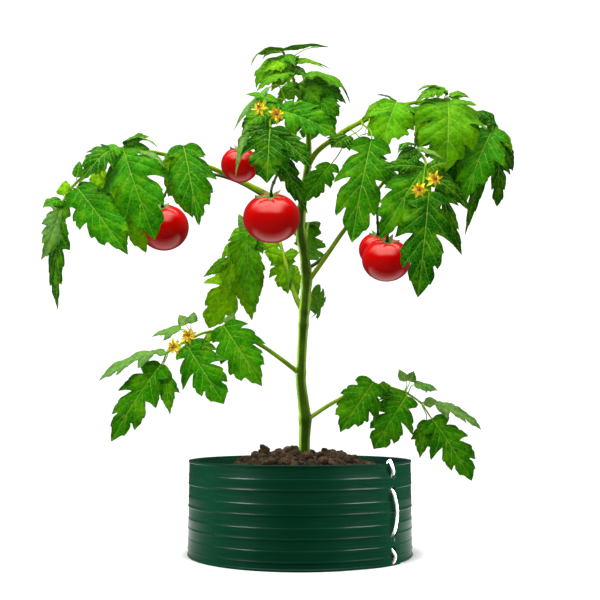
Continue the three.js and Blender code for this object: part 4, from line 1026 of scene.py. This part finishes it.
def petal_material():
    m = new_material("petal")
    fine = m.noise(500)
    colour = m.mix(m.scaled(fine, 0, 0.5, 0.35, 0.7), m.attribute("tone", "Color"), (0.7, 0.5, 0.02),
                   "MULTIPLY")
    return m.finish(Base_Color=colour, Roughness=m.scaled(fine, 0.42, 0.6),
                    Normal=m.bump(m.noise(800, 2), 0.0002, 0.5))


def cone_material():
    m = new_material("pollen_cone")
    fine = m.noise(900)
    return m.finish(Base_Color=m.ramp(fine, (0.3, (0.12, 0.04, 0.001)), (0.7, (0.5, 0.22, 0.004))),
                    Roughness=m.scaled(fine, 0.5, 0.7), Normal=m.bump(fine, 0.0003, 0.6))


TABLE_EDGE = 0.15                 # metres in front of the stem
TABLE_GLOSS = 1.45                # how bright the table's back is in reflections, where it is a glow, painted light
TABLE_DIM = 0.75                  # how much of its light it keeps from the object
TABLE_DARK = (0.03, 0.03, 0.03)
GLOW = 0.6                        # painted light: the glow that the table gives off away from the bed's foot
GLOW_START, GLOW_END = 0.148, 0.175
FADE_START, FADE_END = 0.5, 0.9   # distances between which reflections lose the table


def floor_material():
    """A white table that glows as painted light away from the bed's foot, dim as a source of light, and
    seen in reflections as a glow that ends at TABLE_EDGE.
    """
    m = new_material("studio_floor")
    colour = m.ramp(m.noise(3, 2), (0.3, (0.83, 0.83, 0.83)), (0.7, (0.85, 0.85, 0.85)))
    away = m.new("VectorMath", {0: m.place}, operation="LENGTH").outputs["Value"]
    m.finish(Base_Color=colour, Roughness=m.scaled(m.noise(8, 2), 0.6, 0.7), Emission_Color=(1, 1, 1),
             Emission_Strength=m.scaled(away, 0, GLOW, GLOW_START, GLOW_END))
    ray = m.new("LightPath").outputs
    dark = m.new("BsdfDiffuse", {"Color": TABLE_DARK}).outputs[0]
    lit = m.blend(m.scaled(ray["Is Diffuse Ray"], 0, TABLE_DIM), m.shader.outputs[0], dark)
    # painted light: in reflections the table is a glow, brightest at its back, not the lit table
    near = m.math("MULTIPLY", m.scaled(m.axes()["Y"], 0.02, TABLE_GLOSS, -TABLE_EDGE, TABLE_EDGE),
                  m.scaled(away, 1, 0.05, FADE_START, FADE_END))
    reflected_glow = m.new("Emission", {"Strength": near}).outputs[0]
    m.surface(m.blend(ray["Is Glossy Ray"], lit, reflected_glow))
    return m.owner


LEAF = leaf_material()
STALK = stalk_material("leaf_stalk", (0.08, 0.22, 0.0005), (0.25, 0.42, 0.001))
STEM_SKIN = stalk_material("stem_skin", (0.012, 0.04, 0.0002), (0.05, 0.115, 0.0004), 0.42, 0.12)
TRUSS = stalk_material("truss_skin", (0.006, 0.022, 0.001), (0.03, 0.075, 0.003))
SEPAL = stalk_material("sepal", (0.06, 0.14, 0.008), (0.36, 0.45, 0.1))
FRUIT = fruit_material()
PLASTIC = plastic_material()
CORD = cord_material()
SOIL = soil_material()
PETAL = petal_material()
CONE = cone_material()

# ---- the plant ----------------------------------------------------------

KNUCKLE = 0.35                    # swelling at the foot of a leaf's or a truss's bar
BAR_GROOVE = 0.12                 # depth of the groove along a leaf's bar
JOINT_SWELL, JOINT_SPREAD = 0.13, 6    # of the stem where a bar leaves it
ROOT_SWELL, ROOT_REACH = 0.16, 3.5     # of a bar where a leaflet's root is
STEM_SIDES, BAR_SIDES, STALK_SIDES, CONE_SIDES = 28, 14, 9, 36
STEM_HAIRS, BAR_HAIRS, PEDICEL_HAIRS = 3.0, 2.0, 2.5    # hairs on a millimetre of length
STEM_SEED, SOIL_SEED, SHOOT_SEED, TRUSS_SEED = 11, 41, 100, 300
STALK_RADIUS = 1.1
STALK_BEND = 7
STALK_DIP = 2
STALK_GAP = GAP * 1.5
CALYX = (5, 10.5, 1.5, 0.4)       # green star behind a flower: rays, reach, breadth, thickness
PETALS = 6
PETAL_LENGTH = 11
PETAL_WIDTH = 6
PETAL_THICK = 0.5
PETAL_SWEEP = 3
PETAL_TWIST = 5
# Inner petals: how far ahead, shares of length and width, rise, its power, seed, tone and turn.
INNER_PETALS = (
    (0.8, 0.9, 0.5, 1.8, 1.5, 75, (0.95, 0.7, 0.008), 0.5),
    # painted shade: the innermost ring is a darker orange-brown
    (1.6, 0.62, 0.36, 3.2, 1.3, 85, (0.6, 0.36, 0.004), 0.25),
)
CONE_RADIUS = 2.2
CONE_LENGTH = 6
CONE_GROOVE = 0.13
STAR_STEPS = 12                   # rows of points along a ray
STAR_ROWS = 9                     # and across it
STAR_SHOULDER = 0.45              # share of a ray where it is widest
STAR_TURN = 0.15                  # most that a ray is off its place, as a share of a step
STAR_SHORTEST = 0.85
STAR_SPREAD = 0.3
STAR_FOLD = 0.22                  # rise of a ray's edges


def make_stem():
    """Main stem with soft ribs, swellings at its joints and short hairs."""
    builder = Builder()
    points = np.array([p[:3] for p in STEM], float)
    line, share = evenly(spline(points), 190)
    run = run_along(points)
    radii = np.interp(share * run[-1], run, [p[3] for p in STEM])
    joints = [path[0][2] for _, _, path, _ in SHOOTS.values()]
    for z in joints + [bar[0][2] for bar, _ in TRUSSES.values()]:
        radii = radii * (1 + JOINT_SWELL * swelling(line[:, 2], z + 2, JOINT_SPREAD))

    def ribs(s, turn):
        return 1 + 0.028 * np.cos(turn * 5 + s * 3) + 0.012 * np.cos(turn * 3 - s * 40)

    tube(builder, line, radii, STEM_SIDES, shape=ribs)
    hairs(builder, line, radii, STEM_HAIRS, 0, random.Random(STEM_SEED))
    own(builder.piece("stem", [STEM_SKIN]), "stem", "main_stem")


def bloom_stalk(builder, root, at, face, number, draw):
    """The bent stalk of a flower and the green star behind its petals."""
    at, face = np.array(at, float), unit(face)
    end = at - face * (PETAL_THICK / 2 + STALK_GAP * 0.6)
    bend = end - face * STALK_BEND - np.array((0, 0, STALK_DIP))
    line, share = evenly(spline([root, bend, end]), 24)
    radius = STALK_RADIUS * (0.9 + 0.45 * swelling(share, 0.5, 0.05) + 0.7 * smoothstep(0.93, 1, share))
    tube(builder, line, radius, STALK_SIDES, 1)
    hairs(builder, line, radius, BAR_HAIRS, 1, draw)
    star(builder, at - face * 0.9, face, *CALYX, lambda r: -0.4 - 1.1 * (r / 10) ** 2,
         number * 13 + 3, 1)


def make_shoot(name, number):
    """A leaf or a leafy shoot: bar, leaflets, flower stalks and hairs."""
    seed, (low, high), path, rows = SHOOTS[name]
    builder = Builder()
    draw = random.Random(SHOOT_SEED + number)
    dense = spline(path)
    places, _ = evenly(dense, ROOT_PLACES + 1)
    line, share = evenly(dense, max(24, len(path) * 9))
    radii = (low + (high - low) * share) * (1 + KNUCKLE * np.exp(-share * 60))
    for i, row in enumerate(rows):
        root = nearest(places, row[0])
        root += [(chance(seed * 90 + i * 3 + k) - 0.5) * ROOT_SPREAD for k in range(3)]
        leaflet(builder, root, row, seed * 40 + i, draw)
        away = np.linalg.norm(line - root, axis=1)
        radii = radii * (1 + ROOT_SWELL * swelling(away, 0, ROOT_REACH))
    tube(builder, line, radii, BAR_SIDES, 1,
         shape=lambda s, turn: 1 - BAR_GROOVE * swelling(turn, 1.5, 0.5))
    hairs(builder, line, radii, BAR_HAIRS, 1, draw)
    for on, at, face, start in BLOOMS:
        if on == name:
            bloom_stalk(builder, nearest(places, start), at, face, number, draw)
    own(builder.piece(name + "_leaflets", [LEAF, STALK]), "leaf", name)


def star(builder, centre, axis, rays, reach, breadth, thick, rise, seed, slot=0,
         tone=PLAIN, twist=0.0, offset=0.0):
    """Pointed rays round an axis, each a curved blade with a fold along its middle."""
    side = unit(np.cross((0.3, 0.2, 1), axis))
    up = np.cross(axis, side)
    t = np.linspace(0.02, 1, STAR_STEPS)
    u = np.linspace(-1, 1, STAR_ROWS)
    wide = breadth / 2 * (0.55 + 0.45 * np.sin(np.clip(t / STAR_SHOULDER, 0, 1) * math.pi / 2))
    past = np.maximum(t - STAR_SHOULDER, 0) / (1 - STAR_SHOULDER)
    away = np.maximum(wide * (1 - past ** 1.6), 0.06)[:, None] * u
    top = [(k, k + STAR_ROWS, k + STAR_ROWS + 1, k + 1)
           for k in range((STAR_STEPS - 1) * STAR_ROWS) if k % STAR_ROWS < STAR_ROWS - 1]
    faces = [f[::-1] for f in sheet(top, STAR_STEPS * STAR_ROWS)]
    for i in range(rays):
        turn = (i + offset + chance(seed + i) * STAR_TURN) / rays * 2 * math.pi
        out = side * math.cos(turn) + up * math.sin(turn)
        across = up * math.cos(turn) - side * math.sin(turn)
        r = t[:, None] * reach * (STAR_SHORTEST + chance(seed + i * 3) * STAR_SPREAD) * np.ones(STAR_ROWS)
        curl = twist * (chance(seed + i * 5) - 0.5) * t[:, None] ** 2 * u
        height = np.vectorize(rise)(r) + STAR_FOLD * breadth / 3 * np.abs(u) + curl
        points = (centre + r[..., None] * out + away[..., None] * across
                  + height[..., None] * axis).reshape(-1, 3)
        colour = np.array(tone) * (0.85 + 0.3 * chance(seed + i * 9))
        # painted shade: each ray darker towards the star's middle and a tenth darker on its underside;
        # only the petals' material shows it
        fade = np.repeat(0.6 + 0.5 * smoothstep(0, 0.5, t), STAR_ROWS)[:, None] * colour
        builder.add(np.vstack([points, points - axis * thick]), faces, slot,
                    np.vstack([fade, fade * 0.9]))


def make_bloom(i, at, face):
    """A star of swept-back petals, two shorter ones in it and the grooved pollen cone."""
    at, face = np.array(at, float), unit(face)
    builder = Builder()
    star(builder, at, face, PETALS, PETAL_LENGTH, PETAL_WIDTH * 0.72, PETAL_THICK,
         lambda r: -PETAL_SWEEP * (r / PETAL_LENGTH) ** 2 + 0.5 * math.sin(r * 0.9 + i),
         60 + i, 0, (0.92, 0.72, 0.01), PETAL_TWIST)
    for ahead, long, wide, rise, power, seed, tone, turn in INNER_PETALS:
        star(builder, at + face * ahead, face, PETALS, PETAL_LENGTH * long, PETAL_WIDTH * wide,
             PETAL_THICK, lambda r: rise * (r / 6) ** power, seed + i * 3, 0, tone, PETAL_TWIST, turn)
    own(builder.piece("petals_%d_star" % (i + 1), [PETAL]), "petal", "petals_%d" % (i + 1))
    builder = Builder()
    t = np.linspace(0, 1, 26)
    line = at + face * (PETAL_THICK / 2 + GAP * 0.4) + np.outer(t * CONE_LENGTH, face)
    radius = CONE_RADIUS * np.interp(t, [0, 0.06, 0.35, 0.6, 0.85, 1], [0.7, 1, 0.98, 0.8, 0.42, 0.22])
    tube(builder, line, radius, CONE_SIDES,
         shape=lambda s, turn: 1 - CONE_GROOVE * np.abs(np.cos(turn * 3)) ** 4)
    own(builder.piece("cone_%d_anthers" % (i + 1), [CONE]), "anther", "cone_%d" % (i + 1))


# ---- fruit --------------------------------------------------------------

FRUIT_DENT = 3
FRUIT_DENT_SPREAD = 0.35
FRUIT_CREASE = 0.045              # depth of the five creases round the dent
FRUIT_SWELL = 0.012               # how far from round it is, seen from above
FRUIT_SCAR = 0.5
FRUIT_LEAN = np.array(Matrix.Rotation(math.radians(36), 3, 'X'))
FRUIT_ACROSS = 72
FRUIT_ROUND = 96
SEPAL_WIDTH = 6
SEPAL_THICK = 0.6
SEPAL_LIFT = 0.9
SEPAL_CURL = 4
SEPAL_TWIST = 5
BAR_RADIUS = 2.6
PEDICEL_RADIUS = 1.9
PEDICEL_DROP = 9
PEDICEL_RISE = 2


def skin(across, high, r):
    """Height of a fruit's upper half over its middle, with the dent."""
    round_part = high * math.sqrt(max(0, 1 - (r / across) ** 2))
    return round_part - FRUIT_DENT * math.exp(-((r / (across * FRUIT_DENT_SPREAD)) ** 2))


def make_fruit(name, middle, across, high, number):
    """A round fruit with a shallow dent, faint shoulders and a small scar below."""
    rings = []
    around = np.arange(FRUIT_ROUND) / FRUIT_ROUND * 2 * math.pi
    for i in range(1, FRUIT_ACROSS):
        turn = i / FRUIT_ACROSS * math.pi
        r = math.sin(turn) * across
        z = skin(across, high, r) if i < FRUIT_ACROSS / 2 else math.cos(turn) * high
        top = math.exp(-((turn / 0.62) ** 2)) * min(turn / 0.25, 1)
        crease = FRUIT_CREASE * across * top * (0.5 + 0.5 * np.cos(around * 5 + number)) ** 5
        scar = FRUIT_SCAR * math.exp(-((math.pi - turn) / 0.05) ** 2)
        radius = r + FRUIT_SWELL * across * math.sin(turn) * np.cos(around * 2 + number * 1.7)
        rings.append(np.column_stack([radius * np.cos(around), radius * np.sin(around),
                                      z - crease + scar]))
    poles = np.array([(0, 0, skin(across, high, 0)), (0, 0, -high + 0.6)])
    builder = Builder()
    builder.add(np.vstack(rings + [poles]) @ FRUIT_LEAN.T + np.array(middle),
                closed_band(len(rings), FRUIT_ROUND, True))
    own(builder.piece(name + "_skin", [FRUIT], 80), "fruit", name)


def make_truss(name, number):
    """A fruit truss: its bar, a kneed pedicel to each fruit and the calyx on it."""
    bar, fruits = TRUSSES[name]
    builder = Builder()
    draw = random.Random(TRUSS_SEED + number)
    line, share = evenly(spline(bar), 90)
    radii = BAR_RADIUS + (PEDICEL_RADIUS - BAR_RADIUS) * share
    radii = radii * (1 + KNUCKLE * np.exp(-share * 50))
    tube(builder, line, radii, BAR_SIDES)
    hairs(builder, line, radii, BAR_HAIRS, 0, draw)
    for k, (_, middle, across, high, sepal, start) in enumerate(fruits):
        middle = np.array(middle, float)
        crown = middle + FRUIT_LEAN @ (0, 0, skin(across, high, 0) + 0.3)
        above = crown + FRUIT_LEAN @ (0, 0, PEDICEL_DROP)
        knee = (np.array(start, float) + above) / 2 + (0, 0, PEDICEL_RISE)
        line, share = evenly(spline([start, knee, above, crown]), 60)
        swell = 1 + 0.5 * swelling(share, 0.52, 0.035) + 0.5 * smoothstep(0.88, 1, share)
        tube(builder, line, PEDICEL_RADIUS * 0.92 * swell, BAR_SIDES)
        hairs(builder, line, PEDICEL_RADIUS * swell, PEDICEL_HAIRS, 0, draw)
        star(builder, middle, FRUIT_LEAN @ (0, 0, 1.0), 5, sepal * 1.06, SEPAL_WIDTH * 1.05, SEPAL_THICK,
             lambda r: (skin(across, high, min(r, across)) + SEPAL_LIFT
                        + SEPAL_CURL * (r / sepal) ** 3),
             20 + number + k * 9, 1, twist=SEPAL_TWIST)
    own(builder.piece(name + "_stalks", [TRUSS, SEPAL]), "truss", name)


# ---- the bed ------------------------------------------------------------

STRIP_DEGREES = 1.25
STRIP_DRIFT = 0.25                # how far it strays from its circle
HOLE_RADIUS = 4.1
CUT_CLEAR = 0.4                   # how much wider than the solid's the notch is
CUT_SIDES = 24
CUT_FROM, CUT_TO = BED_RADIUS - 12, BED_RADIUS + 14
CORD_SIDES = 20
CORD_STEPS = 420
CORD_STRANDS = 3
CORD_TWIST = 0.33                 # turns for each unit of its own width
STRAND_DEPTH = 0.045
CORD_SHARE = 0.88                 # share of the solid cord's radius
RIM_TURN = 1.2                    # degrees that the cord leans as it crosses the rim
HOLE_TURN = 0.8
BOW_TURN = 1.0
# A rib's section from its lower edge up: height over its middle, and rise.
RIB_SECTION = (
    (-7.5, 0), (-7.3, 0.3), (-6.9, 0.68), (-6.4, 0.8), (-5.8, 0.7), (-5, 0.5), (-4, 0.36),
    (-2.6, 0.32), (2.6, 0.32), (5.7, 0.36), (6.3, 0.33), (6.9, 0.2), (7.3, 0.05), (7.6, 0),
)


def strip_profile():
    """Height and rise of the strip's outer face, its ribs with soft shoulders."""
    rim = BED_HEIGHT - RIM_HEIGHT
    outer = [(0, RIM_RISE * 0.6), (0.5, RIM_RISE), (RIM_HEIGHT, RIM_RISE), (RIM_HEIGHT + RIM_RISE, 0)]
    outer += [(middle + z, rise) for middle in RIB_MIDDLES for z, rise in RIB_SECTION]
    outer += [(rim - RIM_RISE, 0), (rim, RIM_RISE), (BED_HEIGHT - 0.5, RIM_RISE),
              (BED_HEIGHT, RIM_RISE * 0.6)]
    inner = [(z, rise - WALL) for z, rise in outer[::-1]]
    inner[0], inner[-1] = (BED_HEIGHT, -WALL * 0.8), (0, -WALL * 0.8)
    return outer + inner


def cutter_piece():
    """Bars where the strip's holes and the notch at its foot are to be."""
    cutters = Builder()
    for z in HOLE_HEIGHTS:
        through = (CUT_FROM, (CUT_FROM + CUT_TO) / 2, CUT_TO)
        tube(cutters, [polar(r, LACE_ANGLE, z) for r in through], HOLE_RADIUS, CUT_SIDES)
    notch = NOTCH_WIDTH / 2 + CUT_CLEAR
    through = (CUT_FROM, BED_RADIUS, CUT_TO)
    tube(cutters, [polar(r, LACE_ANGLE, NOTCH_HEIGHT - notch) for r in through], notch, CUT_SIDES)
    return cutters.piece("cutter", [])


def make_bed():
    """The edging strip rolled into a ring, with holes for its cord."""
    profile = strip_profile()
    count = len(profile)
    span = 360 + LAP_END - LAP_START
    stations = math.ceil(span / STRIP_DEGREES)
    points = []
    for i in range(stations + 1):
        angle = LAP_START + span * i / stations
        step = float(smoothstep(360 + LAP_START - LAP_RUN_IN, 360 + LAP_START - 1, angle)) * LAP_STEP
        drift = STRIP_DRIFT * noise.noise(Vector((angle / 40, 3, 1)))
        points += [polar(BED_RADIUS + rise + step + drift, angle, z) for z, rise in profile]
    ends = [tuple(range(count)), tuple(range(len(points) - 1, len(points) - count - 1, -1))]
    builder = Builder()
    builder.add(points, band(stations + 1, count, True) + ends)
    strip = builder.piece("edging_strip", [PLASTIC], 30)
    cutter = cutter_piece()
    cut = strip.modifiers.new("holes", "BOOLEAN")
    cut.operation, cut.solver, cut.object = "DIFFERENCE", "EXACT", cutter
    seen = strip.evaluated_get(bpy.context.evaluated_depsgraph_get())
    mesh = bpy.data.meshes.new_from_object(seen)
    strip.modifiers.clear()
    strip.data = mesh
    bpy.data.objects.remove(cutter)
    own(strip, "bed_plastic", "bed_wall")


def cord_route():
    """Over the rim, out and in through the holes, and back under the wall."""
    inside = BED_INSIDE - CORD_RADIUS - GAP
    tail = inside - 2 * CORD_RADIUS - GAP
    outside = BED_RADIUS + LAP_STEP + RIB_RISE + CORD_RADIUS + GAP
    middle = (inside + outside) / 2
    over = BED_HEIGHT + CORD_RADIUS + GAP
    first, second, third, fourth = HOLE_HEIGHTS

    def thread(z, inwards):
        ends = [(outside, -HOLE_TURN), (inside, HOLE_TURN)]
        (start, lean), (end, back) = ends if inwards else ends[::-1]
        return [(start, z + CORD_SLOPE, lean), (middle, z, 0), (end, z - CORD_SLOPE, back)]

    route = [
        (tail, first - 12, 2 * RIM_TURN), (tail, first + 2, 2 * RIM_TURN),
        (inside - 1, BED_HEIGHT - 1, RIM_TURN), (middle, over + 0.8, -RIM_TURN / 2),
        (outside + 0.6, BED_HEIGHT - 1, -2 * RIM_TURN), *thread(first, True), *thread(second, False),
        (outside + 1.5, (second + third) / 2, BOW_TURN), *thread(third, True), *thread(fourth, False),
        (outside - 0.5, 9, 0), (middle, CORD_RADIUS + GAP, 0), (inside, 6, 0), (inside, 13, 0),
    ]
    return [polar(r, LACE_ANGLE + turn, z) for r, z, turn in route]


def make_cord():
    """The lacing cord, of soft twisted strands, its ends melted round."""
    line, share = evenly(spline(cord_route(), 40), CORD_STEPS)
    run = run_along(line)[-1]
    ends = np.sqrt(1 - np.clip(1 - np.minimum(share, 1 - share) * run / CORD_RADIUS, 0, 1) ** 2)
    twists = run / (2 * CORD_RADIUS) * CORD_TWIST

    def ridge(s, turn):
        """1 on the back of a strand and 0 in the groove between two."""
        return np.abs(np.cos((turn + s * twists * 2 * math.pi) * CORD_STRANDS / 2)) ** 0.6

    turns = np.arange(CORD_SIDES) / CORD_SIDES * 2 * math.pi
    # painted shade: 1 deep in a groove between strands, 0 on their backs
    groove = (1 - ridge(share[:, None], turns[None, :])) ** 3
    builder = Builder()
    tube(builder, line, CORD_RADIUS * CORD_SHARE * np.maximum(ends, 0.3), CORD_SIDES,
         vein=np.append(groove.ravel(), [0, 0]),
         shape=lambda s, turn: 1 - STRAND_DEPTH * (1 - ridge(s, turn)))
    own(builder.piece("lace", [CORD], 180), "cord", "lacing_cord")


# ---- soil ---------------------------------------------------------------

SOIL_RINGS = 125
SOIL_SECTORS = 220
SOIL_SINK = 1.6                   # brings the crumbs' mean height back down
SOIL_REACH = BED_INSIDE - GAP
CRUMB_CELL = 9                    # size and rise of the crumbs, and of finer grains
CRUMB_RISE = 2.0
GRAIN_CELL = 3.6
GRAIN_RISE = 3.4
COLLAR = 3                        # rise of the soil round the stem
COLLAR_SPREAD = 13
EDGE_RISE = 3                     # most that the soil rises at the wall
HOLLOW = 1.6                      # depth at which a hollow's painted shade is darkest
STEM_FOOT = np.array(STEM[0][:2])
STEM_CLEAR = 8                    # room round the stem's middle among the loose lumps
# Loose lumps: how many, smallest and largest size, how finely divided, and share of the bed.
LOOSE = ((170, 4.5, 10.5, 3, 0.8), (850, 1.2, 3.6, 2, 0.97))
CLOD_PLACES = [
    (polar(SOIL_FOOT * math.sqrt(chance(CLOD_SEED + i * 3)), chance(CLOD_SEED + i * 3 + 1) * 360, 0),
     CLOD_SMALL + (CLOD_LARGE - CLOD_SMALL) * chance(CLOD_SEED + i * 3 + 2) ** 2)
    for i in range(CLODS)
]


def soil_height(x, y):
    """Height of the heap with its clods as lumpy bumps."""
    fall = float(smoothstep(SOIL_FLAT, SOIL_FOOT, math.hypot(x, y)))
    bump = 0.0
    for centre, size in CLOD_PLACES:
        away = math.hypot(x - centre[0], y - centre[1]) / size
        if away < 1:
            bump = max(bump, size * CLOD_HEIGHT * math.sqrt(1 - away * away))
    crumb = noise.fractal(Vector((x / CRUMB_CELL, y / CRUMB_CELL, 4)), 0.8, 2.2, 4) * CRUMB_RISE
    crumb += abs(noise.noise(Vector((x / GRAIN_CELL, y / GRAIN_CELL, 9)))) * GRAIN_RISE
    return SOIL_TOP + (SOIL_EDGE - SOIL_TOP) * fall + bump + crumb - SOIL_SINK


def lump(builder, centre, size, seed, level):
    """One crumb of soil: a ball pushed about by noise, flattened a little."""
    ball = bmesh.new()
    bmesh.ops.create_icosphere(ball, subdivisions=level, radius=1)
    squash = np.array((1, 1 - 0.25 * chance(seed), 0.62 + 0.3 * chance(seed + 1)))
    spin = Matrix.Rotation(chance(seed + 2) * 6.28, 3, 'Z') @ Matrix.Rotation(chance(seed + 3), 3, 'X')
    points = []
    for p in (v.co for v in ball.verts):
        push = 1 + 0.4 * noise.noise(p * 1.5 + Vector((seed, 0, 0)))
        push -= 0.4 * abs(noise.noise(p * 3.1 + Vector((0, seed, 0))))
        points.append(centre + np.array(spin @ Vector(np.array(p) * push * squash)) * size)
    faces = [tuple(v.index for v in f.verts) for f in ball.faces]
    ball.free()
    # painted shade on the lower side of the crumb
    under = np.clip((centre[2] + size * 0.1 - np.array(points)[:, 2]) / size, 0, 1)
    builder.add(points, faces, vein=under)


def heap(builder):
    """The heap, from its foot on the ground up along the wall and in to its middle."""
    turns = [j / SOIL_SECTORS * 360 for j in range(SOIL_SECTORS)]
    top = []
    for i in range(SOIL_RINGS + 1):
        for turn in turns:
            x, y, _ = polar(SOIL_REACH * (1 - i / SOIL_RINGS), turn, 0)
            z = soil_height(x, y)
            if i == 0:
                z = min(z, SOIL_EDGE + EDGE_RISE)
            away = np.linalg.norm(np.array((x, y)) - STEM_FOOT)
            top.append((x, y, z + COLLAR * swelling(away, 0, COLLAR_SPREAD)))
    level = np.array(top)[:, 2].reshape(-1, SOIL_SECTORS)
    # painted shade: darker where the heap lies below the average of its neighbours
    around = sum(np.roll(np.roll(level, a, 0), b, 1) for a in (-3, 0, 3) for b in (-4, 0, 4)) / 9
    dark = np.clip((around - level) / HOLLOW, 0, 1).ravel()
    foot = [polar(SOIL_REACH, turn, 0) for turn in turns]
    builder.add(foot + top,
                band(SOIL_RINGS + 2, SOIL_SECTORS) + [tuple(range(SOIL_SECTORS - 1, -1, -1))],
                vein=np.append(np.zeros(SOIL_SECTORS), dark))


def make_soil():
    """The filled bed: heap, clods and loose crumbs, closed down to the ground."""
    builder = Builder()
    draw = random.Random(SOIL_SEED)
    heap(builder)
    for count, small, large, level, spread in LOOSE:
        for i in range(count):
            r = SOIL_REACH * spread * math.sqrt(draw.random())
            p = polar(min(r, SOIL_REACH - large - 1), draw.random() * 360, 0)
            size = small + (large - small) * draw.random() ** 2
            if np.linalg.norm(p[:2] - STEM_FOOT) < size + STEM_CLEAR:
                continue
            p[2] = soil_height(p[0], p[1]) + size * (0.05 + 0.25 * draw.random())
            lump(builder, p, size, i + count, level)
    own(builder.piece("soil_heap", [SOIL], 180), "soil", "soil")


# ---- putting it together ------------------------------------------------

make_bed()
make_cord()
make_soil()
make_stem()
for number, name in enumerate(SHOOTS):
    make_shoot(name, number)
for number, (name, (_, fruits)) in enumerate(TRUSSES.items()):
    make_truss(name, number)
    for k, (fruit, middle, across, high, _, _) in enumerate(fruits):
        make_fruit(fruit, middle, across, high, number * 2 + k)
for number, (_, at, face, _) in enumerate(BLOOMS):
    make_bloom(number, at, face)

# ---- studio -------------------------------------------------------------

FLOOR_SIZE = 3.0
FLOOR_CELLS = 8
WHITE = (1, 1, 1)
STRIP_GREEN = (0.8, 1.0, 0.25)
# Place, target and size of the two lights that the plant and its fruit each have.
OVERHEAD = ((-0.1, -0.35, 2.0), (0, 0, 0.4), (1.5, 1.1))
KEY = ((-0.9, -1.2, 1.5), (0, 0, 0.35), (0.5, 0.5))
# The world's strength for the camera, for light and for reflections, at its front and back, and
# the directions where it turns from one to the other.
WORLD_SEEN = 1.2
WORLD_FRONT, WORLD_BACK = 0.42, 0.9
GLOSS_FRONT, GLOSS_BACK = 0.0, 0.07
WORLD_SPAN, GLOSS_SPAN = (-0.5, 0.5), (-0.5, 0.6)
# Reflections also find a patch overhead: its strength, and the directions where it begins and ends.
GLOSS_TOP = 5.0
GLOSS_MIDDLE = 0.08               # how far to the left its middle is
TOP_START, TOP_END = 0.36, 0.62
SIDE_START, SIDE_END = 0.35, 0.8
BEHIND = 0.35


def area_light(name, place, target, size, power, mirrored=False, colour=WHITE):
    data = bpy.data.lights.new(name, "AREA")
    data.shape = "RECTANGLE"
    data.size, data.size_y = size
    data.energy, data.color = power, colour
    light = in_scene(name, data)
    light.location = place
    light.rotation_euler = (Vector(target) - Vector(place)).to_track_quat("-Z", "Y").to_euler()
    light.visible_glossy = mirrored
    return light


def both_sides(name, place, target, size, powers, mirrored, colour=WHITE):
    """A light to the left of the object and the same to its right."""
    return [area_light(side + name, (sign * place[0], *place[1:]), target, size, power, mirrored, colour)
            for side, sign, power in zip(("left_", "right_"), (-1, 1), powers)]


def only_on(name, pieces, lights, clear=False):
    """Lights that reach the named pieces alone, and with clear are shaded by them alone."""
    reached = bpy.data.collections.new(name)
    for piece in pieces:
        reached.objects.link(bpy.data.objects[piece])
    for light in lights:
        light.light_linking.receiver_collection = reached
        if clear:
            light.light_linking.blocker_collection = reached


def make_floor():
    mesh = bpy.data.meshes.new("floor")
    grid = bmesh.new()
    bmesh.ops.create_grid(grid, x_segments=FLOOR_CELLS, y_segments=FLOOR_CELLS, size=FLOOR_SIZE / 2)
    grid.to_mesh(mesh)
    grid.free()
    mesh.materials.append(floor_material())
    floor = in_scene("floor", mesh)


def make_world():
    """White behind the object. Reflections find it dark on the viewer's side."""
    world = bpy.data.worlds.new("studio")
    bpy.context.scene.world = world
    m = Nodes(world, "Background", "Generated")
    x, y, z = m.axes()
    aside = m.math("ABSOLUTE", m.math("ADD", x, GLOSS_MIDDLE))
    patch = m.math("MULTIPLY", m.scaled(z, 0, GLOSS_TOP, TOP_START, TOP_END, SOFT),
                   m.scaled(aside, 1, 0, SIDE_START, SIDE_END, SOFT))
    patch = m.math("MULTIPLY", patch, m.scaled(y, 1, 0, 0, BEHIND, SOFT))
    gloss = m.math("ADD", patch, m.scaled(y, GLOSS_FRONT, GLOSS_BACK, *GLOSS_SPAN, SOFT))
    ray = m.new("LightPath").outputs
    light = m.scaled(y, WORLD_FRONT, WORLD_BACK, *WORLD_SPAN, SOFT)
    light = m.choose(ray["Is Glossy Ray"], light, gloss)
    m.finish(Color=WHITE, Strength=m.choose(ray["Is Camera Ray"], light, WORLD_SEEN))


def make_lights():
    meshes = [ob.name for ob in bpy.context.scene.objects if ob.type == "MESH"]
    fruit = [name for name in meshes if name.startswith("fruit_")]
    only_on("above_bed", [name for name in meshes if name not in (*fruit, "edging_strip")],
            (area_light("overhead", *OVERHEAD, 42), area_light("key", *KEY, 16)))
    only_on("fruit_boxes", fruit,
            (area_light("fruit_top", *OVERHEAD, 50), area_light("fruit_key", *KEY, 17)), True)
    only_on("bed_boxes", ("edging_strip", "lace"),
            both_sides("box", (1.3, -0.75, 0.85), (0, 0, 0.1), (0.7, 0.8), (90, 80), True)
            + both_sides("side", (1.5, 0.0, 0.4), (0, 0, 0.06), (0.6, 0.6), (85, 85), False))
    only_on("stem_boxes", ("stem",),
            both_sides("strip", (1.2, 0.4, 0.6), (0, 0, 0.35), (0.25, 0.9), (130, 40), True, STRIP_GREEN))


for piece in [ob for ob in bpy.context.scene.objects if ob.type == "MESH"]:
    piece.visible_glossy = False
make_floor()
make_world()
make_lights()
bpy.context.scene.view_settings.view_transform = "Standard"
